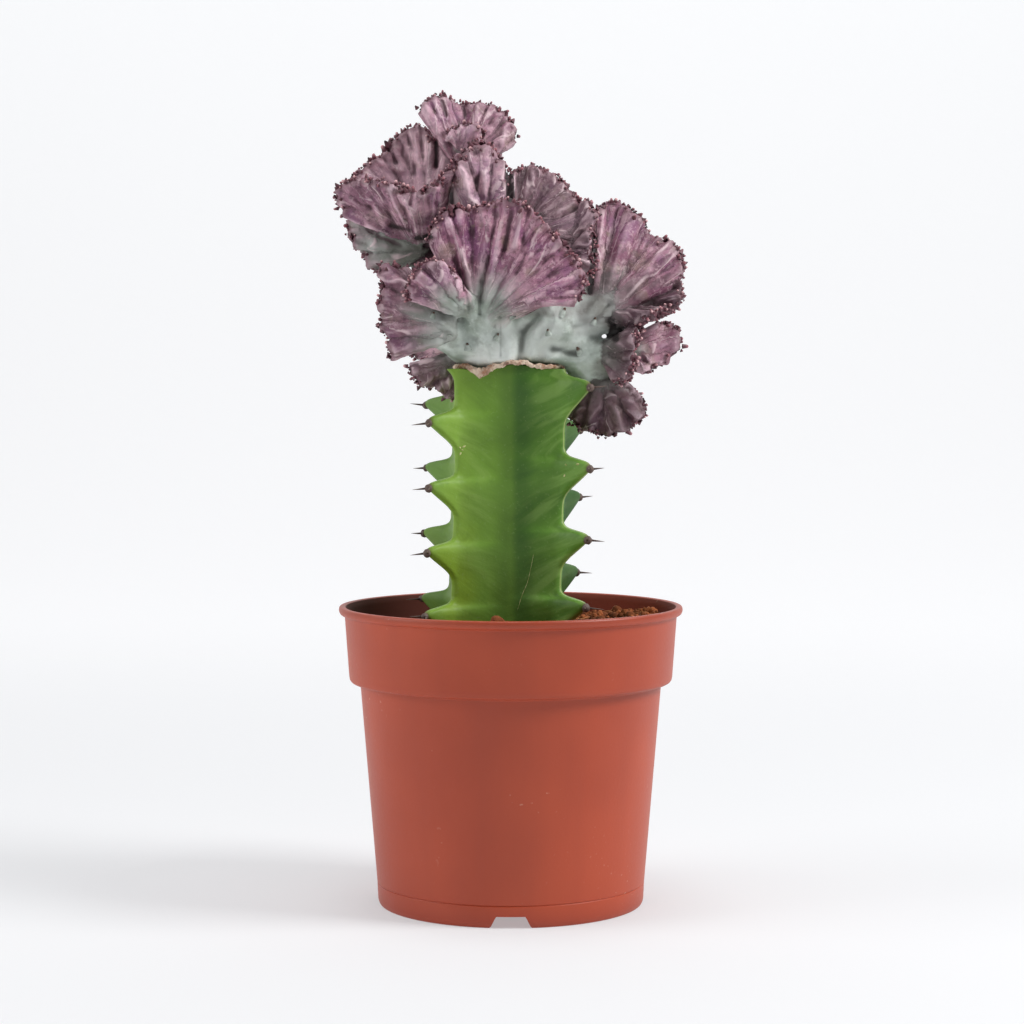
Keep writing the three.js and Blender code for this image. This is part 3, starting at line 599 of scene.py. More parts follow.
def stock_spines(rng):
    """Two spines on each tooth: tip + t length (cos s, sin s) in the wing's own directions, with a small
    droop, thinning to a point; and a pad below them as a short thick rod."""
    starts, headings, pads, outs = [], [], [], []
    for toward, _, tip_radius, tips in WINGS:
        turn = math.radians(toward)
        out = np.array([math.cos(turn), math.sin(turn), 0])
        across = np.array([-out[1], out[0], 0])
        for z in [tip for tip in tips if 100 < tip < 184]:
            tip = out * tip_radius + [stem_axis(z), 0, z - 0.5]
            pads.append(tip)
            outs.append(out)
            for side in (-1, 1):
                splay = math.radians(40 + rng.uniform(-8, 8))
                starts.append(tip - 0.8 * out + side * 0.5 * across)
                tilt = [0, 0, rng.uniform(-0.12, 0.2)]
                headings.append(math.cos(splay) * out + side * math.sin(splay) * across + tilt)
    starts, headings = np.array(starts), np.array(headings)
    t = np.linspace(0, 1, 9)
    length = rng.uniform(4.6, 6.2, len(starts))
    paths = starts[:, None] + headings[:, None] * (length[:, None] * t)[..., None]
    radii = np.broadcast_to(0.46 * (1 - t) ** 0.8, paths.shape[:2]).copy()
    spine_points, spine_faces = tapered(paths, radii, 8)
    pads, outs = np.array(pads), np.array(outs)
    u = np.linspace(0, 1, 8)
    pad_paths = pads[:, None] + outs[:, None] * (2.9 * (u - 0.72))[None, :, None]
    lumps = rng.uniform(0.8, 1.15, pad_paths.shape[:2])
    pad_radii = 1.45 * np.sin(np.pi * u) ** 0.6 * lumps
    pad_radii[:, [0, -1]] = 0
    pad_points, pad_faces = tapered(pad_paths, pad_radii, 12)
    points = np.vstack([spine_points.reshape(-1, 3), pad_points.reshape(-1, 3)])
    faces = np.vstack([spine_faces, pad_faces + spine_points.reshape(-1, 3).shape[0]])
    along = np.concatenate([np.tile(np.repeat(t, 8), len(starts)), np.full(pad_points[..., 0].size, 0.5)])
    return put_mesh("stock_spines", points, faces, along=along)


def stem_skin():
    finish = Finish("stem_skin", Specular_IOR_Level=0.3)
    flank, tooth_tip, *_ = finish.channels("growth")
    height, side = finish.along("Z"), finish.along("X")
    clouds = finish.noise(11, detail=3)
    mottle = finish.noise(2.2, detail=4, rough=0.6)
    speck = finish.noise(0.5, detail=2)
    rising = (height - flank * 13) * 0.001
    chevron = finish.make("ShaderNodeCombineXYZ", inputs={0: side * 0.0002, 1: flank * 0.002, 2: rising})
    bars = finish.noise(2.6, detail=3, rough=0.6, place=chevron)
    colour = finish.blend(clouds.between(0.3, 0.7), paint(80, 121, 41), paint(104, 148, 54))
    colour = finish.coats(
        colour,
        (bars.between(0.46, 0.66) * flank.between(0.05, 0.4) * 0.5, (142, 178, 92)),
        (bars.between(0.44, 0.3) * 0.3, (52, 92, 32)),
        # Painted light on the left half of the front, lightest towards the far left, and painted shade on the
        # right half, darkest in a band just right of the middle.
        (side.between(4.0, -1) * side.between(-26, -21) * 0.35, (140, 176, 66)),
        (side.between(-8, -20) * 0.4, (150, 184, 72)),
        (side.between(-0.4, 3) * side.between(16, 6) * 0.3, (50, 88, 34)),
        (side.between(-0.6, 3) * side.between(9, 4.5) * 0.34, (36, 72, 30)),
        (flank.between(0.3, 0.0) * 0.35, (44, 80, 36)),
    )
    low = height.between(150, 112) * clouds.between(0.35, 0.55) * flank.between(0.3, 0.8)
    colour = finish.coats(
        colour,
        (low * side.between(4, -16) * 0.6, (132, 160, 34)),
        # Painted highlight: a pale line along the wing edges, on the right side only.
        (flank.between(0.988, 0.998) * side.between(-5, 5) * 0.6, (186, 196, 130)),
        (mottle.between(0.55, 0.8) * 0.2, (46, 84, 38)),
        (speck.between(0.6, 0.75) * 0.2, (150, 178, 112)),
    )
    # Painted shade on the back of the stem, darker still on the back right.
    back = finish.along("Y").between(2, 12)
    colour = finish.coats(
        colour,
        (back * 0.35, (60, 98, 66)),
        (back * side.between(8, 20) * 0.55, (34, 64, 38)),
        (tooth_tip.between(0.78, 1.0), (92, 66, 54)),
    )
    roughness = 0.42 + 0.14 * mottle
    return finish.finish(colour, roughness, clouds + mottle * 0.25 + bars * 0.3 + speck * 0.06, depth=0.7)


def spine_horn():
    finish = Finish("spine_horn", Roughness=0.6)
    tone = finish.layer("along").between(0.0, 1.0)
    grain = finish.noise(0.8, detail=3)
    colour = finish.blend(tone, paint(62, 42, 36), paint(120, 102, 92))
    colour = finish.blend(grain.between(0.5, 0.8) * 0.4, colour, paint(42, 28, 26))
    return finish.finish(colour, relief=grain, depth=0.2)


def smooth_line(points, count):
    """count points spread evenly along the centripetal Catmull-Rom curve through the given ones."""
    p = np.vstack([2 * points[:1] - points[1:2], points, 2 * points[-1:] - points[-2:-1]])
    knot = np.concatenate([[0], np.cumsum(np.sqrt(np.linalg.norm(np.diff(p, axis=0), axis=1)))])
    t = np.linspace(knot[1], knot[-2], 1200)
    k = (np.searchsorted(knot, t, side="right") - 1).clip(1, len(p) - 3)

    def lerp(a, b, i, j):
        share = ((t - knot[i]) / (knot[j] - knot[i]))[:, None]
        return a * (1 - share) + b * share

    a = [lerp(p[k + i - 1], p[k + i], k + i - 1, k + i) for i in range(3)]
    b = [lerp(a[i], a[i + 1], k + i - 1, k + i + 1) for i in range(2)]
    curve = lerp(b[0], b[1], k, k + 1)
    length = np.concatenate([[0], np.cumsum(np.linalg.norm(np.diff(curve, axis=0), axis=1))])
    even = np.linspace(0, length[-1], count)
    return np.stack([np.interp(even, length, curve[:, i]) for i in range(3)], axis=-1), length[-1]


def touched(piece, spots):
    """Where the line from the camera to each [x, z] on the plane y = 0 first meets the piece, as
    [place, normal] in millimetres."""
    tree = BVHTree.FromObject(piece, bpy.context.evaluated_depsgraph_get())
    eye = Vector((0, -EYE_DISTANCE, EYE_HEIGHT)) * MM
    found = []
    for x, z in spots:
        place, normal, *_ = tree.ray_cast(eye, (Vector((x, 0, z)) * MM - eye).normalized())
        found.append([place / MM, normal])
    return np.array(found)


def make_latex(stock):
    """Dried drops as rods of six rings that lie in the skin, and a thread of latex along a scratch."""
    rng = np.random.default_rng(22)
    place, normal = np.moveaxis(touched(stock, LATEX), 1, 0)
    heading = np.cross(normal, rng.normal(size=place.shape))
    heading /= np.linalg.norm(heading, axis=1, keepdims=True)
    t = np.linspace(0, 1, 6)
    size = rng.uniform(0.45, 0.9, len(place))
    paths = place[:, None] + heading[:, None] * (size[:, None] * (t - 0.5) * 1.8)[..., None]
    drops, drop_faces = tapered(paths, size[:, None] * 0.42 * np.sin(np.pi * t) ** 0.7, 8)
    line = smooth_line(np.array([[x, 0, z] for x, z in SCRATCH]), 40)[0]
    thread = touched(stock, line[:, [0, 2]])[:, 0][None]
    radii = 0.09 * np.sin(np.pi * np.linspace(0, 1, 40))[None] ** 0.3
    thread, thread_faces = tapered(thread, radii, 6)
    points = np.vstack([drops.reshape(-1, 3), thread.reshape(-1, 3)])
    return put_mesh("stock_latex", points, np.vstack([drop_faces, thread_faces + drops.size // 3]))


def dried_latex():
    finish = Finish("dried_latex", Roughness=0.45)
    clouds = finish.noise(0.8, detail=3)
    colour = finish.blend(clouds.between(0.35, 0.65), paint(150, 160, 84), paint(224, 220, 160))
    return finish.finish(colour, relief=clouds, depth=0.1)


stock = make_stock()
stock.data.materials.append(stem_skin())
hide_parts("stock")
spines = stock_spines(np.random.default_rng(21))
spines.data.materials.append(spine_horn())
latex = make_latex(stock)
latex.data.materials.append(dried_latex())
for piece in (stock, spines, latex):
    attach(piece, "root")

# ---------------------------------------------------------------------------------------------------
# Graft callus: the scar between stock and crest. It dried into an uneven tan crust round the cut,
# with brown flakes along its lower edge.
# ---------------------------------------------------------------------------------------------------

CRUST_REACH = 0.985  # share of the stem's outline where the crust sits
CRUST_TURN, CRUST_SIDES = 700, 14


def make_callus():
    """A tube along the stem's outline at the cut, at most 22.5 mm from the axis: its radius is
    0.95 + 0.6 noise + 0.9 in the dip at the front left, and its middle follows the cut."""
    section = stock_section()[0][-1]
    radius = np.hypot(section[:, 0], section[:, 1])
    angle = np.unwrap(np.arctan2(section[:, 1], section[:, 0]))
    turn = np.linspace(angle[0], angle[0] + 2 * np.pi, CRUST_TURN, endpoint=False)
    around = np.interp(turn, np.append(angle, angle[0] + 2 * np.pi), np.append(radius, radius[0]))
    reach = around.clip(20.6, 22.8) * CRUST_REACH
    x, y = reach * np.cos(turn), reach * np.sin(turn)
    rough = waves(x, y, 3.2, 31) * 0.5 + waves(x, y, 1.3, 32) * 0.35
    dip = bell(x, -10, 4) * (y < 0)
    z = graft_height(x, y) + 0.75 + 0.4 * waves(x, y, 5, 33) + 0.5 * dip
    fat = (0.95 + 0.6 * rough + 0.9 * dip).clip(0.4, 2.2)
    path = np.stack([x, y, z], axis=-1)
    outward = np.stack([np.cos(turn), np.sin(turn), 0 * turn], axis=-1)
    bend = np.linspace(0, 2 * np.pi, CRUST_SIDES, endpoint=False)
    lumps = 1 + 0.16 * np.sin(3 * bend[None] + 5 * waves(x, y, 2, 34)[:, None])
    ring = outward[:, None] * np.cos(bend)[:, None] + np.array([0, 0, 0.85]) * np.sin(bend)[:, None]
    points = path[:, None] + ring * (fat[:, None] * lumps)[..., None]
    rows = np.concatenate([points, points[:1]])
    return put_mesh("graft_crust", rows.reshape(-1, 3), grid_faces(len(rows), CRUST_SIDES)[:, ::-1])


def crust():
    finish = Finish("dry_crust", Roughness=0.9, Specular_IOR_Level=0.25)
    flakes = finish.noise(2.6, detail=5, rough=0.7)
    grit = finish.noise(0.6, detail=3)
    colour = finish.blend(flakes.between(0.35, 0.6), paint(178, 130, 104), paint(238, 214, 192))
    colour = finish.coats(
        colour,
        (grit.between(0.5, 0.75) * 0.6, (246, 230, 212)),
        (finish.noise(1.6, detail=3).between(0.58, 0.66) * 0.6, (104, 56, 44)),
    )
    return finish.finish(colour, relief=flakes + grit * 0.3, depth=0.9)


callus = make_callus()
callus.data.materials.append(crust())
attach(callus, "root")
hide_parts("graft_callus")

# ---------------------------------------------------------------------------------------------------
# Crest: the scion, one grown body of folded fans on a pale fleshy trunk. Ribs run up each fan and end
# in the warts of its dark, ruffled margin. The skin is waxy, grey-green below and mauve above.
# ---------------------------------------------------------------------------------------------------

# A point of the crest is [x, z, y]: x and z as it shows on the upright plane through the pot's axis to
# the photograph's eye, and y as its real depth behind that plane.
VOXEL = 0.62
CREST_TRIANGLES = 190_000
RIB_PITCH = 4.2  # between ribs at the margin
FOLD_LENGTH, FOLD_DEPTH = 10.0, 3.2
ROOT_SPREAD, ROOT_THICK, RIM_THICK = 0.16, 4.2, 1.5
FAN_STEP = 0.5  # between a fan's columns, along its margin
FIRST_SEED, SEED_STEP = 100, 10  # of the fans' noise
LIMB_RINGS, LIMB_SIDES, LIMB_SEED = 60, 48, 70
TRUNK_FOOT, TRUNK_PLEATS = (-3, 172), 24  # where the trunk's pleats fan out from, and how close they are
TUBERCLE_COUNT = 26  # beside the ones that are listed

SEAMS = [  # x and z at both ends, half width, and depth, which is below 0 for a ridge
    # the trunk and the arm to the right
    (9.6, 205.4, 6.6, 201.8, 2.6, 2.6), (13.8, 206.6, 8.6, 200.6, 1.5, -1.2),
    (4.2, 199, 2.8, 190, 2.2, 1.9), (7.6, 199.4, 7, 191, 1.6, -1.0), (-0.4, 204, -0.8, 190, 1.8, -0.9),
    (-3.3, 203, -3.4, 191, 0.7, 0.6), (-3.6, 204.6, -0.4, 204.6, 0.8, 1.0),
    (-5.6, 201.4, -3.8, 204.2, 0.8, 0.7), (-7, 195.6, -6, 189.6, 2.2, -1.0),
    (-22, 196, -12, 197, 2.2, 0.9), (15, 193.6, 23, 191.8, 2.0, 2.0), (13, 190, 24, 189, 1.3, -0.7),
    (21.5, 201, 28, 202.4, 1.6, 1.3), (28, 198, 34, 198.6, 2.4, 1.8), (28, 191.2, 34, 192.6, 1.4, 1.2),
    (29.4, 203.8, 34, 208.6, 0.9, 0.9), (10, 197, 20, 198.6, 2.4, -0.9), (-24, 206.4, -15, 205, 2.0, 1.2),
    (-18, 191.4, -12.6, 190.2, 1.3, 1.2), (21.6, 188.6, 26, 183.6, 1.0, -0.8),
    (-24, 201.8, -19, 199.4, 1.2, -0.8),
    # the front fan, and the edge of the crown fan beside it
    (-12.6, 207, -15.6, 222, 1.2, -1), (-15.6, 222, -21, 238, 1.3, -1), (-9.6, 208, -5.6, 224, 1.3, -1.1),
    (-5.6, 224, -3.9, 237, 1.4, -1.1), (1.5, 229, 4.0, 243, 1.2, -0.9), (6.4, 226, 10.4, 234, 1.2, -0.6),
    (-10.9, 205.6, -9.9, 217, 1, 1.1), (-9.9, 217, -8, 224.5, 1.6, 1.1), (-2.0, 228, 0.2, 241, 1.3, 1.3),
    (3.8, 231, 6.2, 241, 1.2, 1.1), (-4.6, 211, -1.4, 224, 2.1, 0.6), (2, 219.5, 5, 225.5, 0.9, 0.5),
    (5.5, 226.6, 13, 228, 0.9, 0.5), (-14.4, 208, -17.6, 220, 1.2, 0.9), (-17.6, 220, -20, 224, 1.3, 1),
    (-17.4, 229, -20, 240, 1.2, 0.9), (12, 223.6, 14, 224.4, 1.3, 0.5), (13, 219, 16, 220, 1.3, 0.5),
    (2, 211.4, 18, 210.6, 0.9, 0.3), (-13, 234, -11, 228, 1.8, 0.5), (8, 214.5, 19, 216, 1.6, -0.4),
    # the fans up the left side
    (-25.8, 265.4, -25.8, 256.5, 1.1, 1.9), (-33, 258, -33.4, 254, 1.1, 0.9),
    (-40, 258, -42.6, 263, 1.1, 0.9), (-33, 258, -38, 267, 1, -0.8), (-31, 256, -34, 268, 1, -0.8),
    (-29, 255, -29.8, 266, 1, -0.8), (-38, 255, -47, 258.5, 1.1, -0.8), (-22.4, 274, -23.8, 279, 1.1, 1.4),
    (-24.3, 273, -27, 281, 1, -0.9), (-15.8, 274, -16, 279.5, 1, 0.8), (-18.4, 273, -19, 279, 1, -0.7),
    (-12.2, 272, -11.4, 279, 1, -0.8), (-7.5, 271, -6, 277, 1.2, 0.7), (-3, 264, -1.5, 273, 1.1, -0.7),
    (-17, 255, -14.4, 246, 1.5, -1), (-11.5, 253, -13, 246, 1.2, 1.2), (-12, 253.6, -14.6, 262, 1, -0.8),
    (-8.8, 254, -9.4, 247, 1, -0.8), (-20.6, 248.5, -20.4, 240, 1.4, 1.9), (-46.8, 242, -43.4, 236, 1, -1),
    (-44.8, 249, -41, 237.5, 1.4, 1.1), (-41.4, 244.5, -34.6, 233, 1.1, -1),
    (-41, 236, -34.4, 234.6, 1.2, 1.1), (-31, 236.6, -25, 238.6, 2.4, 1.5),
    (-31.8, 247, -33, 240, 1.6, -0.9), (-28.8, 248, -28, 240, 1.2, 1.1), (-26, 249, -24, 241.5, 1.1, -0.9),
    (-22.8, 250, -22.4, 243.5, 1, 0.9), (-34.4, 248, -34.5, 243.6, 0.9, 0.9),
    (-52.4, 249, -48.6, 242, 1.2, 0.7), (-56, 246, -50, 238.4, 1.2, -0.7), (-50, 236, -35, 229, 0.9, -0.8),
    (-46, 232.2, -38, 229.4, 1.2, 0.9), (-55, 232, -49, 228.8, 1.2, 0.8),
    (-51, 236.4, -48, 233.4, 0.9, 0.8),
]

PAINTED_SHADE_AND_LIGHT = [  # painted shade in deep gaps between fans, and painted light: x and z at both ends, half width, and darkness, below 0 for painted light
    (34.8, 203, 36.4, 197, 1.8, 1), (27.6, 213, 29.2, 232, 1.3, 1), (-31, 237.5, -25, 238.5, 1.8, 0.72),
    (-32.5, 231.6, -27.5, 232.4, 1.3, 1), (-42, 236.2, -35, 234.2, 0.9, 0.9),
    (-20.5, 247, -20.3, 240.5, 1.0, 1), (-25.8, 265, -25.8, 257, 0.7, 0.95),
    (-23.2, 279, -22.6, 274.6, 0.7, 0.85), (-46, 232.2, -39, 229.6, 0.8, 0.8),
    (-0.6, 256.5, 0, 245.5, 1.8, 1), (38, 214.5, 54, 217, 2.2, 0.6), (23.4, 174, 26, 168, 1.2, 0.85),
    (28.4, 178, 31, 168, 1.0, 0.85), (34, 176, 34.4, 169, 1.0, 0.8), (-31, 222, -25, 222.5, 1.8, 0.7),
    (40.5, 207, 41.5, 193, 2.6, 0.85), (36, 193, 40, 186, 3.2, 0.9), (31.5, 187, 34, 184, 2.6, 0.6),
    (46.8, 204, 46.4, 197, 1.8, 0.7), (23, 171, 30, 165.5, 3.0, 0.6), (27, 206, 43, 205.4, 4.5, 0.7),
    (33, 213, 43, 210, 4.6, 0.8), (23, 200.4, 31, 200, 2.4, 0.35), (4, 207.4, 20, 206.6, 2.4, 0.6),
    (-1, 200, 1, 191, 3.2, -0.5), (-10, 191.5, 2, 191.5, 2.6, -0.6), (5, 200, 15, 199, 3.2, -0.5),
    (5, 193.5, 15, 193.5, 3.2, -0.6), (15, 193, 22, 193.5, 2.6, -0.4), (-14, 188.6, 0, 189.6, 2.0, -0.9),
    (-11, 214.5, 2.5, 214.5, 4.2, -0.4), (1.2, 228, 3.2, 241, 1.3, 0.6), (-29, 221.5, -22, 220, 2.0, 0.45),
    (-26, 237, -25, 233, 1.6, 0.5),
]

# Limbs: [x, z, y, radius] along each fleshy arm that carries the fans.
LIMBS = [
    [[-2, 184, -1, 17.5], [-1, 190, -1.5, 18.6], [-1, 197, -3, 18.5], [-3, 206, -1, 14], [-6, 214, 1, 10]],
    [[-5, 205, -2, 13], [-9, 222, 1, 10.5], [-14, 238, 2, 9], [-16, 252, 5, 7.5], [-15, 262, 8, 5]],
    [[4, 197, -9, 12], [16, 201, -14, 9], [25, 203.4, -15, 7.4], [32.4, 206.6, -15, 6.2],
        [39, 215, -13, 4.5]],
    [[8, 202, -10, 9], [18, 210, -13, 8], [25, 219, -13, 6], [26, 229, -11, 5], [26, 236, -8, 4]],
    [[9, 196, -9.6, 11.6], [20, 192.5, -11.4, 8.8], [28, 191, -13, 7.3], [32, 190.3, -14, 6.3],
        [38, 189, -15, 5]],
    [[35.2, 207, -14, 3.8], [37.0, 199.6, -14, 3.4], [38, 192, -15, 4]],
    [[22.5, 190, -6, 7.6], [28, 184.5, -8, 6.4], [32.5, 177, -9, 4.5]],
    [[-6, 196, -11, 11], [-18, 198, -15, 9], [-27, 200, -18, 6.5], [-33, 203, -19, 4.5]],
    [[-13, 234, 0, 8], [-24, 233, -2, 6.5], [-34, 231, -1, 4.8], [-42, 231, 0, 3.4]],
    [[-10, 212, -2, 9], [-22, 219, -2, 6.5], [-32, 225, 0, 4.8], [-40, 227, 0, 3]],
    [[0, 208, 0, 9], [5, 222, -3, 8], [9, 233, -4, 6], [12, 241, -2, 4]],
    [[0, 200, 6, 12], [-2, 210, 14, 9], [-2, 220, 20, 6]],
    [[-5, 194, -11, 9.5], [-9, 200, -17, 7], [-11, 205, -22, 5], [-11, 210, -24, 4]],
    [[3, 203, -12, 9], [9, 207, -19, 6], [14, 210, -24, 4]],
]
TUBERCLES = [(-5, 197.5), (0.5, 204.5), (-21, 198), (24, 192), (29, 203), (13, 199), (-15, 194),
             (18, 206), (-27, 205)]
SHADOW_LIMB = 5  # the strand beside the gap in the right arm, painted near black as shade in the gap
# Fans: root, margin, bow to the front, share of the way up that stays grey-green, and how mauve it is.
FANS = {
    "front_fan": ([-10, 205, -22], [[-29, 230, -27], [-26.5, 239, -29], [-21, 243.5, -29], [-14, 242.5, -27],
        [-9, 244.5, -29], [-3, 246, -29], [3, 245.5, -31], [8, 242, -31], [13, 237, -31], [19, 231, -32],
        [24, 224.5, -33], [26.6, 216.6, -35], [23.6, 207.4, -36]], 2, 0.06, 1.0),
    "top_lip": ([-17, 262, 1], [[-23, 267, -3], [-19, 270.5, -5], [-14, 271.5, -6], [-10, 270.5, -6],
        [-9, 266.5, -5], [-12, 262.5, -5]], 2, 0.0, 0.9),
    "side_band": ([19, 222, -14], [[25, 246, -8], [28.5, 244, -10], [29, 238, -14], [28.5, 231, -19],
        [29, 224, -22], [27.5, 217, -23]], 2, 0.1, 0.7),
    "crown_fan": ([-15, 206, -25], [[-37, 211, -30], [-36, 217, -34], [-33, 222.5, -35], [-28, 224.5, -35],
        [-23, 222, -35], [-18.5, 217, -34]], 3, 0.3, 0.95),
    "left_fan": ([-20, 201, -22], [[-36, 222, -18], [-42, 222, -19], [-46.5, 222.5, -21], [-45, 216, -23],
        [-46.5, 209.5, -25], [-46, 204.5, -25], [-46.5, 201, -24], [-43, 197, -24], [-43.5, 193, -23],
        [-42, 188.7, -20]], 3, 0.36, 0.9),
    "lower_left_flap": ([-17, 190, -8], [[-37, 188, -9], [-35.5, 184.5, -7], [-32, 180.5, -5],
        [-26.5, 179.5, -4], [-22.5, 175.5, -4], [-17.5, 178, -4]], 1, 0.2, 0.8),
    "upper_front_fan": ([-32, 233, -5], [[-55.5, 238.5, -7], [-60, 242.5, -8], [-61, 249.3, -9],
        [-55, 252.5, -13], [-49, 252.5, -16], [-42, 251, -18], [-36, 248.5, -20], [-30, 249, -20],
        [-25, 252, -18], [-20, 257, -15], [-17, 262.5, -12]], 2, -0.2, 0.9),
    "upper_back_fan": ([-30, 240, 0], [[-60.5, 249, -6], [-56, 253, 0], [-50, 258.5, 5], [-44.5, 261.5, 8],
        [-40.5, 267, 10], [-36, 270.5, 10], [-31, 271.5, 9], [-27, 267, 5], [-24.5, 267.5, 2], [-20, 271, 2],
        [-14, 269, 2], [-9.5, 269.5, 3]], -4, -0.3, 0.8),
    "lower_left_wing": ([-31, 228, -3], [[-55, 241, -3], [-57.5, 236.5, -3], [-56, 230.5, -3],
        [-52.5, 227, -2], [-50.5, 222.5, -1], [-45.5, 219.5, 0], [-40, 219, 1]], 2, 0.75, 0.5),
    "top_fan": ([-16, 256, 6], [[-33, 275.5, 0], [-30, 279.5, 1], [-26, 281.8, 3], [-22, 280, 7],
        [-18, 278.8, 10], [-12, 278.8, 10], [-6, 278, 9], [-1, 274.5, 8], [2, 270, 7], [1, 263.3, 7]],
        2, -0.1, 0.9),
    "middle_fan": ([-9, 232, -9], [[-19.5, 251, -16], [-18, 258.5, -14], [-14.5, 264, -11], [-9.5, 265, -10],
        [-5, 261.5, -11], [-2, 257, -12], [-2.5, 249, -14]], 3, -0.1, 0.8),
    "back_right_fan": ([2, 230, -5], [[-2.5, 253, -4], [2, 256.2, -3], [8, 257.3, -1], [14, 255, 0],
        [19, 251.5, 0], [23, 246, -2], [27, 242.5, -7], [28.5, 236, -13], [27.5, 229, -18],
        [26.5, 222, -20]], 2, 0.0, 0.75),
    "right_fan": ([31, 206, -16], [[29.5, 232, -8], [29, 240, -6], [32, 244, -5], [36.5, 245, -1],
        [41, 243, -5], [46, 239, -7], [48.5, 233.5, -5], [53, 231.7, -9], [58, 229.5, -11],
        [60.5, 224, -12], [60, 216.5, -14]], 2, 0.1, 1.0),
    "right_under_fan": ([33, 205, -17], [[60, 217, -14], [60.3, 211.6, -17], [57, 207.6, -21],
        [52.5, 205.4, -24], [48, 203.8, -26], [45, 200.5, -26]], -2, 0.3, 0.9),
    "right_spout": ([34, 192, -16], [[46, 206, -20], [45, 200.5, -25], [43.5, 194, -27], [43.5, 187.5, -26],
        [40.5, 181.5, -24], [35.5, 182, -21]], 2, 0.25, 0.85),
    "right_wing": ([37, 191, -13], [[52, 203, -12], [58, 201.8, -10], [59.8, 197, -9], [58.5, 192.5, -10],
        [51, 187, -13], [47.5, 184, -15]], 1, 0.15, 1.0),
    "hanging_fan": ([33, 182, -12], [[19.8, 171.5, -5], [22.4, 165.8, -8], [28.5, 163.5, -11],
        [33.5, 162.5, -12], [39, 164, -13], [44.5, 167, -14], [47.5, 171.5, -14], [45, 175.5, -13],
        [40.5, 179.5, -14]], 2, 0.12, 0.95),
    "back_left_fan": ([-12, 222, 10], [[-43, 226, 15], [-47, 234, 21], [-42, 243, 26], [-34, 247, 27],
        [-27, 251, 24], [-19, 250, 27], [-12, 247, 31]], -3, 0.25, 0.8),
    "back_top_fan": ([-14, 252, 9], [[-30, 262, 15], [-25, 269, 22], [-18, 271, 24], [-11, 272, 21],
        [-5, 268, 24], [-3, 261, 23]], -2, 0.15, 0.85),
    "back_fan": ([-1, 210, 16], [[-21, 226, 32], [-17, 234, 36], [-10, 236, 34], [-3, 240, 37], [5, 238, 41],
        [12, 231, 40], [15, 223, 36]], -3, 0.25, 0.9),
    "back_upper_right_fan": ([8, 218, 8], [[8, 248, 15], [15, 247, 20], [22, 241, 23], [28, 236, 20],
        [35, 232, 23], [40, 225, 26], [40, 216, 26]], -3, 0.25, 0.85),
    "back_lower_right_fan": ([8, 200, 12], [[4, 215, 33], [13, 214, 38], [21, 209, 38], [26, 204, 34],
        [29, 197, 33], [26, 189, 29]], -3, 0.3, 0.85),
    "back_lower_left_fan": ([-10, 202, 10], [[-26, 218, 26], [-33, 213, 31], [-36, 206, 30],
        [-39, 200, 26], [-36, 192, 27], [-28, 187, 25]], -3, 0.3, 0.85),
}

SHADED = {  # painted shade on fans that lie in shadow, from 0 to 1, and painted light on paler ones below 0
    "hanging_fan": 0.87,
    "right_spout": 0.86,
    "right_under_fan": 0.87,
    "side_band": 0.78,
    "lower_left_flap": 0.84,
    "lower_left_wing": 0.6,
    "upper_front_fan": 0.2,
    "upper_back_fan": -0.34,
    "back_right_fan": 0.7,
    "left_fan": 0.52,
    "right_wing": 0.4,
    "top_fan": 0.18,
    "crown_fan": 0.25,
    "right_fan": 0.3,
}
EDGE_LIFT = {"front_fan": 3.2}  # how far the middle of a fan's last edge is raised
BEADED = {  # times the usual number of warts beside the rim
    "crown_fan": 2.6,
    "front_fan": 2,
    "back_right_fan": 1.5,
    "upper_front_fan": 1.5,
    "middle_fan": 1.3,
    "side_band": 2,
    "right_under_fan": 2,
    "right_spout": 1.8,
    "hanging_fan": 1.4,
}
CALM = {  # share of the usual depth of folds and ribs, on the flatter fans
    "front_fan": 0.4,
    "upper_front_fan": 0.65,
    "upper_back_fan": 0.6,
    "middle_fan": 0.6,
    "top_fan": 0.7,
    "crown_fan": 0.8,
    "right_fan": 0.8,
}


def seen(points):
    """[x, z, y] as seen to [x, y, z] in the part's frame."""
    x, z, y = np.moveaxis(np.asarray(points, dtype=float)[..., :3], -1, 0)
    scale = (EYE_DISTANCE + y) / EYE_DISTANCE
    return np.stack([x * scale, y, EYE_HEIGHT + (z - EYE_HEIGHT) * scale], axis=-1)


def pleat(phase, skew=0.0):
    """A wave of -1 to 1 with sharp ridges and broad furrows: 1 - 2 |sin(p / 2)|^0.8, where
    p = phase + skew (1 - cos phase) makes one flank of each ridge steeper."""
    return 1 - 2 * np.abs(np.sin((phase + skew * (1 - np.cos(phase))) / 2)) ** 0.8


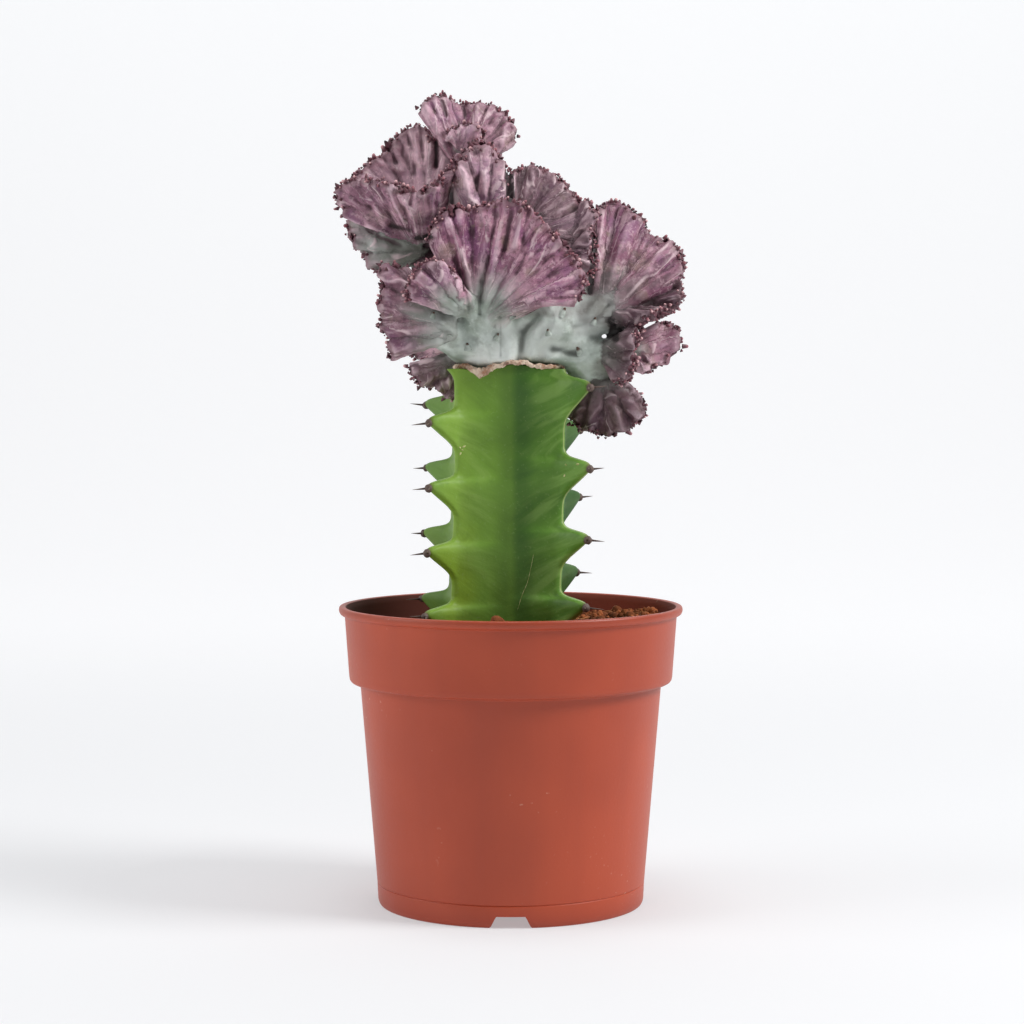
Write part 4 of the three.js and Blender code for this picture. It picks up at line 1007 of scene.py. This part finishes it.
def fan_middle(name, seed, across):
    """The middle surface of a fan: lerp(root + spread (margin - centre), margin, v), bowed by
    sin(pi v), pleated by v^1.1 times a wave along the margin, and ruffled near the rim; its last edge
    is lifted by sin(pi v). Returns points[u, v] and the margin's length."""
    root, margin, bow = FANS[name][:3]
    length = smooth_line(seen(margin), 10)[1]
    count = int(length / FAN_STEP)
    line, length = smooth_line(seen(margin), count)
    u = np.linspace(0, 1, count)[:, None]
    v = across[None, :]
    start = (line - line.mean(axis=0)) * ROOT_SPREAD + seen(root)
    points = start[:, None] * (1 - v[..., None]) + line[:, None] * v[..., None]
    folds = max(2, round(length / FOLD_LENGTH))
    uneven = 2.2 * waves(u * length, v * 5, 24, seed + 5)
    uneven_depth = 0.75 + 0.5 * waves(u * length, v * 5, 18, seed + 8)
    wave = pleat(2 * np.pi * folds * u + len(margin) + uneven, 0.5)
    fold = -FOLD_DEPTH * CALM.get(name, 1) * v**1.1 * uneven_depth * wave
    ruffle = 1.3 * v**4 * waves(u * length, v * 9, 7, seed)
    frill = 1.8 * waves(u * length, v * 6, 11, seed + 9)
    ruffle -= 0.9 * step(v, 0.5, 0.95) * pleat(2 * np.pi * length / 3.6 * u + frill, 0.3)
    points[..., 1] += -bow * np.sin(np.pi * v.clip(0, 1)) + fold + ruffle
    points[..., 2] += EDGE_LIFT.get(name, 0) * np.sin(np.pi * v) * step(u, 0.82, 1)
    return points, length


def surface_normals(points):
    along, outward = np.gradient(points, axis=0), np.gradient(points, axis=1)
    normal = np.cross(along, outward)
    normal /= np.linalg.norm(normal, axis=2, keepdims=True) + 1e-9
    outward /= np.linalg.norm(outward, axis=2, keepdims=True) + 1e-9
    return normal, outward


def rib_wave(u, v, length, seed):
    """Ribs across a fan: pleats of an uneven phase, so that they differ in width and some run together."""
    uneven = 2.4 * waves(u * length, v * 6, 15, seed + 1) + 0.6 * waves(u * length, v * 9, 6, seed + 2)
    return pleat(2 * np.pi * length / RIB_PITCH * u + uneven)


def make_fan(name, seed):
    """A closed blade round the middle surface. Its half thickness falls from root to rim, is raised on
    ribs, and is rounded off at the rim and both ends; the rim steps out in a wart at each rib."""
    across = np.concatenate([np.linspace(0, 0.8, 34), np.linspace(0.82, 1, 15)])
    middle, length = fan_middle(name, seed, across)
    u = np.linspace(0, 1, len(middle))[:, None]
    v = np.broadcast_to(across, middle.shape[:2])
    normal, outward = surface_normals(middle)
    rib = rib_wave(u, v, length, seed)
    fine = np.cos(2 * np.pi * length / 2.1 * u + 3 * waves(u * length, v * 10, 6, seed + 3))
    middle = middle + outward * ((0.75 * rib + 0.45 * fine - 1.0) * step(v, 0.86, 1))[..., None]
    half = ROOT_THICK + (RIM_THICK - ROOT_THICK) * v**0.75
    strong = (0.5 + 0.35 * waves(u * length, v * 20, 13, seed + 7)) * CALM.get(name, 1)
    half += step(v, 0.1, 0.6) * strong * rib + step(v, 0.5, 0.85) * 0.25 * fine + 0.25 * step(v, 0.8, 0.93)
    half += 0.35 * waves(u * length, v * 30, 7, seed + 4)
    half = half.clip(0.75, None) * (1 - np.abs(2 * u - 1) ** 14) ** 0.5
    half = half * np.sqrt(1 - ((v - 0.965).clip(0, 1) / 0.0351) ** 2)
    front, back = middle + normal * half[..., None], middle - normal * half[..., None]
    points = np.concatenate([front, back[:, ::-1]], axis=1)
    bare, mauve = FANS[name][3:]
    growth = np.stack(np.broadcast_arrays(v, 0.5 + 0.5 * rib, bare, mauve), axis=-1)
    shade = SHADED.get(name, 0.1)
    place = np.stack(np.broadcast_arrays(u * length + 0 * v, seed, max(shade, 0), max(-shade, 0)), axis=-1)
    twice = [np.concatenate([layer, layer[:, ::-1]], axis=1).reshape(-1, 4) for layer in (growth, place)]
    return points.reshape(-1, 3), grid_faces(*points.shape[:2]), *twice


def make_limb(limb, seed, shade):
    """A fleshy arm: a rod along its curve, with slow lumps on its skin and rounded ends. Over the stem
    it stays above the cut, and above the trunk its skin is marked as fan skin with painted shade, for the
    shadow among the fans."""
    limb = np.array(limb, dtype=float)
    path = smooth_line(seen(limb), LIMB_RINGS)[0]
    push = np.linspace(-1, 1, LIMB_RINGS)
    radius = np.interp(np.linspace(0, 1, LIMB_RINGS), np.linspace(0, 1, len(limb)), limb[:, 3])
    radius = radius * np.sqrt(1 - push**10)
    first, last = path[0] - path[1], path[-1] - path[-2]
    unit = [first / np.linalg.norm(first), last / np.linalg.norm(last)]
    path = path + np.outer((-push - 0.8).clip(0) * 5 * limb[0, 3] * 0.5, unit[0])
    path = path + np.outer((push - 0.8).clip(0) * 5 * limb[-1, 3] * 0.5, unit[1])
    points, faces = tapered(path[None], radius[None], LIMB_SIDES)
    flat = points.reshape(-1, 3)
    centre = np.repeat(path, LIMB_SIDES, axis=0)
    lumps = 1 + 0.07 * waves(flat[:, 0] + flat[:, 1], flat[:, 2] * 0.6, 10, seed)
    flat = centre + (flat - centre) * lumps[:, None]
    seat = graft_height(flat[:, 0], flat[:, 1]) + 1.2
    across, deep = np.abs(flat[:, 0]), np.abs(flat[:, 1])
    over_stem = (np.maximum(across, deep) < 19.5) | ((np.abs(across - deep) < 6) & (across + deep < 52))
    flat[:, 2] = np.where(over_stem, np.maximum(flat[:, 2], seat), flat[:, 2])
    growth = np.tile([0.0, 0.5, 0.35, 0.8], (len(flat), 1))
    growth[:, 0] = 0.75 * step(flat[:, 2], 208, 226)
    place = np.tile([0.0, seed, shade, 0.0], (len(flat), 1))
    # Painted shade on the limbs above the trunk, which lie among the fans.
    place[:, 2] = np.maximum(shade, 0.9 * step(flat[:, 2], 206, 215))
    return flat, faces, growth, place


def joined(parts):
    """Several (points, faces, layer, layer) made one."""
    offset = np.cumsum([0] + [len(part[0]) for part in parts[:-1]])
    faces = np.vstack([part[1] + start for part, start in zip(parts, offset)])
    return np.vstack([part[0] for part in parts]), faces, *(np.vstack([p[i] for p in parts]) for i in (2, 3))


def make_crest():
    """All fans and limbs joined, grown together by a voxel remesh, smoothed a little, and given back
    their growth layers from the nearest point of the loose ones."""
    parts = [make_limb(limb, LIMB_SEED + i, float(i == SHADOW_LIMB)) for i, limb in enumerate(LIMBS)]
    parts += [make_fan(name, FIRST_SEED + SEED_STEP * i) for i, name in enumerate(FANS)]
    points, faces, growth, place = joined(parts)
    loose = put_mesh("loose_fans", points, faces, growth=growth, place=place)
    crest = put_mesh("crest_body", points, faces)
    finished(
        crest,
        ("REMESH", dict(mode="VOXEL", voxel_size=VOXEL * MM, use_smooth_shade=True)),
        ("SMOOTH", dict(factor=0.4, iterations=1)),
    )
    transfer = dict(
        object=loose,
        use_vert_data=True,
        data_types_verts={"COLOR_VERTEX"},
        vert_mapping="POLYINTERP_NEAREST",
        layers_vcol_vert_select_src="ALL",
        layers_vcol_vert_select_dst="NAME",
    )
    for layer in ("growth", "place"):
        crest.data.attributes.new(layer, "FLOAT_COLOR", "POINT")
    finished(crest, ("DATA_TRANSFER", transfer))
    bpy.data.objects.remove(loose)
    groove_trunk(crest)
    press_seams(crest)
    mark_creases(crest)
    share = CREST_TRIANGLES / (2 * len(crest.data.polygons))
    finished(crest, ("DECIMATE", dict(ratio=min(1.0, share))))
    crest.data.shade_smooth()
    return crest


def read_points(mesh, what="co"):
    """The points, or the vertex normals, of a mesh as rows of x, y and z, points in millimetres."""
    values = np.empty(len(mesh.vertices) * 3, dtype=np.float32)
    if what == "co":
        mesh.vertices.foreach_get("co", values)
        return values.reshape(-1, 3).astype(float) / MM
    mesh.vertex_normals.foreach_get("vector", values)
    return values.reshape(-1, 3).astype(float)


def read_layer(mesh, name):
    """A colour layer of a mesh, as rows of four numbers."""
    values = np.empty(len(mesh.vertices) * 4, dtype=np.float32)
    mesh.attributes[name].data.foreach_get("color", values)
    return values.reshape(-1, 4)


def softened(piece, rounds, values=None):
    """The points of a copy of the piece, or three other numbers of each point put in their place, after
    rounds of averaging with their neighbours."""
    soft = piece.copy()
    soft.data = piece.data.copy()
    if values is not None:
        soft.data.vertices.foreach_set("co", (values * MM).astype(np.float32).ravel())
    bpy.context.scene.collection.objects.link(soft)
    finished(soft, ("SMOOTH", dict(factor=0.8, iterations=rounds)))
    points = read_points(soft.data)
    bpy.data.objects.remove(soft)
    return points


def groove_trunk(piece):
    """Blends the limbs into one trunk by smoothing where reach, itself averaged first, is under 0.3,
    then draws its front into pleats that fan out from TRUNK_FOOT: a wave of the angle about it."""
    mesh = piece.data
    growth = read_layer(mesh, "growth")
    reach = softened(piece, 30, growth[:, :3].astype(float))[:, 0]
    fleshy = step(-reach, -0.3, -0.12)
    growth[:, 0] += (reach - growth[:, 0]) * fleshy
    mesh.attributes["growth"].data.foreach_set("color", growth.ravel())
    points = read_points(mesh)
    points += (softened(piece, 90) - points) * fleshy[:, None]
    x, y, z = points.T
    front = step(-y, 6, 14) * (read_points(mesh, "normal")[:, 1] < 0.3) * fleshy
    ray = np.arctan2(z - TRUNK_FOOT[1], x - TRUNK_FOOT[0])
    wave = pleat(TRUNK_PLEATS * ray + 2.2 * waves(x, z, 16, 61))
    points[:, 1] -= front * 0.5 * wave * (0.7 + 0.6 * waves(x, z, 9, 62))
    mesh.vertices.foreach_set("co", (points * MM).astype(np.float32).ravel())
    mesh.update()


def nearness(at, line, width):
    """bell(gap, width), where gap is each point's distance from a line between two [x, z]."""
    start, run = np.array(line[:2]), np.subtract(line[2:4], line[:2])
    share = ((at - start) @ run / (run @ run)).clip(0, 1)
    return bell(np.linalg.norm(at - start - share[:, None] * run, axis=1), 0, width)


def press_seams(piece):
    """Presses each seam into the skin that faces the front, back along y by its depth, and marks each
    stroke of painted shade in the channel of shade, and each of painted light in the channel of paleness;
    both lie where the eye sees them."""
    mesh = piece.data
    points, place = read_points(mesh), read_layer(mesh, "place")
    scale = EYE_DISTANCE / (EYE_DISTANCE + points[:, 1])
    at = np.stack([points[:, 0] * scale, EYE_HEIGHT + (points[:, 2] - EYE_HEIGHT) * scale], axis=-1)
    push = sum(seam[5] * nearness(at, seam, seam[4]) for seam in SEAMS)
    for gap in PAINTED_SHADE_AND_LIGHT:
        column = 2 if gap[5] > 0 else 3
        mark = abs(gap[5]) * step(nearness(at, gap, gap[4]), 0.05, 0.6)
        place[:, column] = np.maximum(place[:, column], mark)
    points[:, 1] += push * step(-read_points(mesh, "normal")[:, 1], -0.2, 0.3)
    mesh.vertices.foreach_set("co", (points * MM).astype(np.float32).ravel())
    mesh.attributes["place"].data.foreach_set("color", place.ravel())
    mesh.update()


def mark_creases(piece):
    """Layers crease and hollow: how far each point stands out of a copy of the piece smoothed a
    little and a lot, along its normal, from 0 in a furrow to 1 on a ridge, with 0.5 where it is flat."""
    points, normals = read_points(piece.data), read_points(piece.data, "normal")
    for name, rounds, full in (("crease", 22, 1.2), ("hollow", 150, 4.0)):
        out = np.sum((points - softened(piece, rounds)) * normals, axis=1)
        layer = piece.data.attributes.new(name, "FLOAT", "POINT")
        layer.data.foreach_set("value", (0.5 + out / full).clip(0, 1).astype(np.float32))


def make_warts(rng):
    """Warts in five rows along every rim, one on its edge and two down each side: short rods that lean
    outwards from the middle surface, some pointed teeth with dark tips and some paler blunt beads."""
    starts, headings, sizes, tones = [], [], [], []
    for i, name in enumerate(FANS):
        across = np.array([0.80, 0.86, 0.92, 0.97, 1.0])
        seed = FIRST_SEED + SEED_STEP * i
        middle, length = fan_middle(name, seed, across)
        normal, outward = surface_normals(middle)
        for row, lean in ((4, 0.0), (3, 0.75), (3, -0.75), (2, 1.1), (2, -1.1)):
            pitch = 1.45 if row == 4 else 2.0 if row == 3 else 4.0
            count = int(length / pitch * (BEADED.get(name, 1) if row < 4 else 1))
            at = 0.03 + 0.94 * (np.arange(count) + 0.5 + rng.uniform(-0.3, 0.3, count)) / count
            k = (at * (len(middle) - 1)).astype(int).clip(1, len(middle) - 2)
            out, square = outward[k, row], normal[k, row]
            heading = out + lean * square + rng.normal(size=(count, 3)) * 0.3
            heading /= np.linalg.norm(heading, axis=1, keepdims=True)
            rim = RIM_THICK * 0.75 * np.sign(lean)
            sunk = (1.3 if row == 4 else 0.6) + rng.uniform(-0.5, 0.7, (count, 1))
            starts.append(middle[k, row] + square * rim - out * sunk)
            headings.append(heading)
            crowd = 1 + 0.5 * waves(at * length, at * 0, 14, seed + 6)
            sizes.append(rng.gamma(5, 0.2, count).clip(0.35, 1.7) * crowd * (1.0 if row > 2 else 0.75))
            tones.append(rng.uniform(0, 0.45 if row == 4 else 1, count))
    start, heading = np.vstack(starts), np.vstack(headings)
    size, tone = np.concatenate(sizes), np.concatenate(tones)
    t = np.array([0, 0.35, 0.7, 0.92, 1.0])
    bead, tooth = np.array([1.2, 1.0, 0.9, 0.6, 0.0]), np.array([1.5, 1.1, 0.65, 0.35, 0.0])
    bulk = bead + (tooth - bead) * (tone[:, None] < 0.4)
    paths = start[:, None] + heading[:, None] * (0.2 + size[:, None] * t * 1.1)[..., None]
    radii = size[:, None] ** 0.5 * bulk * rng.uniform(0.4, 0.6, (len(size), 1))
    points, faces = tapered(paths, radii, 6)
    along = np.broadcast_to(t[None, :, None], points.shape[:3]).ravel()
    chance = np.broadcast_to(tone[:, None, None], points.shape[:3]).ravel()
    return put_mesh("crest_warts", points.reshape(-1, 3), faces, along=along, chance=chance)


def make_tubercles(crest, rng):
    """Low cones on the trunk, where leaves once stood: radius falling from 1.5 mm to a blunt dry tip."""
    place, normal = np.moveaxis(touched(crest, TUBERCLES), 1, 0)
    points, normals = read_points(crest.data), read_points(crest.data, "normal")
    bare = (read_layer(crest.data, "growth")[:, 0] < 0.15) & (points[:, 1] > -4) & (points[:, 2] > 190)
    chosen = rng.choice(np.flatnonzero(bare), TUBERCLE_COUNT, replace=False)
    place, normal = np.vstack([place, points[chosen]]), np.vstack([normal, normals[chosen]])
    heading = 0.55 * normal + [0.2, 0, 0.85] + rng.normal(size=place.shape) * 0.2
    t = np.array([0, 0.3, 0.6, 0.85, 0.97, 1.0])
    size = rng.uniform(0.75, 1.2, len(place))[:, None]
    paths = place[:, None] + heading[:, None] * (size * (3 * t - 1.2))[..., None]
    radii = size * np.array([1.5, 1.2, 0.8, 0.45, 0.28, 0.0])
    cones, faces = tapered(paths, radii, 12)
    along = np.broadcast_to(t[None, :, None], cones.shape[:3]).ravel()
    return put_mesh("crest_tubercles", cones.reshape(-1, 3), faces, along=along)


def tubercle_skin():
    finish = Finish("tubercle_skin", Roughness=0.55)
    clouds = finish.noise(1.5, detail=3)
    wax = finish.blend(clouds.between(0.35, 0.65), paint(150, 160, 150), paint(200, 208, 200))
    colour = finish.blend(finish.layer("along").between(0.62, 0.85), wax, paint(84, 58, 44))
    return finish.finish(colour, relief=clouds, depth=0.2)


def crest_skin():
    finish = Finish("crest_skin", Specular_IOR_Level=0.45)
    reach, _, bare, mauve = finish.channels("growth")
    arc, seed, shade, painted_light = finish.channels("place")
    clouds = finish.noise(9, detail=4, rough=0.55)
    blotches = finish.noise(5.5, detail=3, rough=0.6)
    mottle = finish.noise(2.4, detail=4, rough=0.65)
    grit = finish.noise(0.6, detail=2)
    grain = finish.noise(0.9, detail=2, rough=0.7)
    lines = finish.make("ShaderNodeCombineXYZ", inputs={0: arc * 0.001, 1: reach * 0.0025, 2: seed * 0.01})
    streaks = finish.noise(0.8, detail=4, rough=0.6, place=lines)
    bands = finish.noise(2.2, detail=2, place=lines)
    veins = abs(finish.noise(1.5, detail=2, place=lines) - 0.5).between(0.022, 0.004)
    crease, hollow = finish.layer("crease"), finish.layer("hollow")
    strength = reach - bare + (clouds - 0.5) * 0.6 + (bands - 0.5) * 0.5
    purple = strength.between(-0.12, 0.38) * (0.3 + 0.7 * mauve)
    wax = finish.blend(clouds.between(0.4, 0.6), paint(158, 170, 158), paint(220, 229, 222))
    wax = finish.coats(
        wax,
        (mottle.between(0.52, 0.72) * 0.4, (120, 126, 106)),
        (blotches.between(0.54, 0.68) * 0.45, (122, 132, 116)),
        (grain.between(0.55, 0.7) * 0.3, (226, 233, 226)),
    )
    flesh = finish.blend(clouds.between(0.38, 0.62), paint(150, 94, 120), paint(204, 150, 170))
    flesh = finish.coats(
        flesh,
        (blotches.between(0.5, 0.64) * 0.6, (138, 76, 126)),
        (blotches.between(0.45, 0.32) * 0.45, (166, 150, 124)),
        (streaks.between(0.52, 0.66) * 0.75, (242, 204, 216)),
        (streaks.between(0.47, 0.34) * 0.75, (78, 40, 60)),
        (mottle.between(0.58, 0.74) * 0.5, (146, 140, 104)),
        (grain.between(0.54, 0.68) * 0.45, (236, 196, 206)),
        (grain.between(0.46, 0.32) * 0.5, (76, 40, 58)),
        (finish.noise(1.1, detail=2).between(0.6, 0.7) * 0.5, (92, 52, 74)),
    )
    # Painted light: lighter wax and flesh where the paleness channel is set.
    wax = finish.blend(painted_light, wax, paint(236, 241, 236))
    flesh = finish.blend(painted_light, flesh, paint(240, 194, 208))
    colour = finish.blend(purple, wax, flesh)
    colour = finish.coats(
        colour,
        # Painted shade: browner skin on shaded fans, limbs and gaps, and darker skin in creases and hollows.
        (shade * 0.8, (76, 48, 53)),
        (crease.between(0.47, 0.1) * reach.between(0.1, 0.5) * 0.75, (72, 38, 50)),
        (crease.between(0.42, 0.05) * reach.between(0.4, 0.1) * 0.3, (62, 62, 52)),
        (hollow.between(0.5, 0.1) * reach.between(0.1, 0.4) * 0.5, (60, 40, 44)),
        (hollow.between(0.48, 0.1) * reach.between(0.4, 0.1) * 0.7, (58, 64, 54)),
        # Painted highlights: paler skin on the trunk's bulges, on the flesh's bulges and along the ridges.
        (hollow.between(0.56, 0.8) * reach.between(0.5, 0.1) * 0.25, (208, 218, 210)),
        (hollow.between(0.6, 1.0) * reach.between(0.2, 0.5) * 0.3, (236, 204, 216)),
        (crease.between(0.56, 0.95) * reach.between(0.2, 0.6) * 0.4, (240, 208, 218)),
        # Pale veins, kept off the furrows: partly the skin's own lines, partly painted highlight along the
        # ridges.
        (veins * crease.between(0.4, 0.6) * reach.between(0.05, 0.3) * 0.55, (240, 214, 218)),
        (reach.between(0.86, 0.98) * (0.45 + 0.45 * streaks), (92, 44, 56)),
        # Painted shade: near black in the deepest gaps between fans.
        (shade.between(0.81, 0.9) * 0.5, (36, 26, 26)),
        (shade.between(0.92, 1.0) * 0.8, (24, 16, 17)),
    )
    roughness = 0.44 + 0.2 * mottle
    relief = (streaks * 0.6 + veins * 0.12) * reach.between(0.03, 0.22) + mottle * 0.35 + grit * 0.08
    return finish.finish(colour, roughness, relief, depth=0.9)


def wart_skin():
    finish = Finish("wart_skin", Roughness=0.5)
    along, chance = finish.layer("along"), finish.layer("chance")
    mottle = finish.noise(0.8, detail=2)
    tip = finish.blend(chance.between(0.1, 0.5), paint(58, 34, 38), paint(156, 92, 102))
    tip = finish.blend(chance.between(0.5, 1.0), tip, paint(228, 182, 184))
    colour = finish.blend(along.between(0.3, 0.95), paint(96, 50, 62), tip)
    colour = finish.blend(mottle.between(0.5, 0.8) * 0.3, colour, paint(70, 38, 46))
    return finish.finish(colour, relief=mottle, depth=0.2)


crest = make_crest()
crest.data.materials.append(crest_skin())
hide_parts("crest")
warts = make_warts(np.random.default_rng(41))
warts.data.materials.append(wart_skin())
tubercles = make_tubercles(crest, np.random.default_rng(43))
tubercles.data.materials.append(tubercle_skin())
for piece in (crest, warts, tubercles):
    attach(piece, "root")

# ---------------------------------------------------------------------------------------------------
# Studio: a white sweep that runs up behind the pot, large soft lights, and the camera where the
# photograph was taken from.
# ---------------------------------------------------------------------------------------------------

CAMERA_PLACE = (0, -0.8776, 0.1832)  # metres
CAMERA_PITCH = math.radians(-3.04)
CAMERA_LENS, CAMERA_SHIFT = 88.64, 0.0012


def make_sweep():
    """Floor and wall as one curved sheet: flat to y = 1 m, a quarter circle of 0.6 m, then upright."""
    bend = np.linspace(0, np.pi / 2, 24)
    y = np.concatenate([[-3000, -500], 1000 + 600 * np.sin(bend), [1600]])
    z = np.concatenate([[0, 0], 600 * (1 - np.cos(bend)), [3500]])
    x = np.linspace(-3000, 3000, 5)
    points = np.stack([np.broadcast_to(x, (len(y), 5)), *(np.repeat(c[:, None], 5, 1) for c in (y, z))], -1)
    return put_mesh("sweep", points.reshape(-1, 3), grid_faces(len(y), 5, wrap=False)[:, ::-1])


def add_light(name, place, aim, size, power):
    """A square lamp, its size in metres and its power in watts, turned towards its aim."""
    lamp = bpy.data.lights.new(name, "AREA")
    lamp.shape = "SQUARE"
    lamp.size = size
    lamp.energy = power
    light = bpy.data.objects.new(name, lamp)
    light.location = place
    light.rotation_euler = (Vector(aim) - Vector(place)).to_track_quat("-Z", "Y").to_euler()
    bpy.context.scene.collection.objects.link(light)


sweep = make_sweep()
paper = Finish("white_sweep", Base_Color=(0.45, 0.455, 0.46, 1), Roughness=0.9, Specular_IOR_Level=0.1)
# Painted light: the sweep glows by its own emission, less on the floor in front and more towards the back and
# up the wall, which lifts the shadows.
glow = paper.blend(paper.along("Y").between(100, 1150), (0.36, 0.36, 0.37, 1), (0.6, 0.6, 0.61, 1))
glow = paper.blend(paper.along("Z").between(0, 600), glow, (0.62, 0.625, 0.635, 1))
paper.tree.links.new(glow.socket, paper.shader.inputs["Emission Color"])
paper.shader.inputs["Emission Strength"].default_value = 1
sweep.data.materials.append(paper.material)
add_light("key", (1.0, -0.3, 0.95), (0, 0, 0.16), 0.5, 15.5)
add_light("fill", (-1.1, -0.25, 0.6), (0, 0, 0.16), 0.7, 6.5)
add_light("top", (-0.05, -0.1, 1.3), (0, 0, 0.1), 0.5, 5)
world = bpy.data.worlds.new("studio")
world.use_nodes = True
world.node_tree.nodes["Background"].inputs["Color"].default_value = (0.95, 0.97, 1, 1)
world.node_tree.nodes["Background"].inputs["Strength"].default_value = 0.18
bpy.context.scene.world = world
bpy.context.scene.view_settings.view_transform = "Standard"

camera = bpy.data.cameras.new("camera")
camera.lens = CAMERA_LENS
camera.sensor_width = 36
camera.shift_x = CAMERA_SHIFT
eye = bpy.data.objects.new("camera", camera)
eye.location = CAMERA_PLACE
eye.rotation_euler = (math.pi / 2 + CAMERA_PITCH, 0, 0)
bpy.context.scene.collection.objects.link(eye)
bpy.context.scene.camera = eye
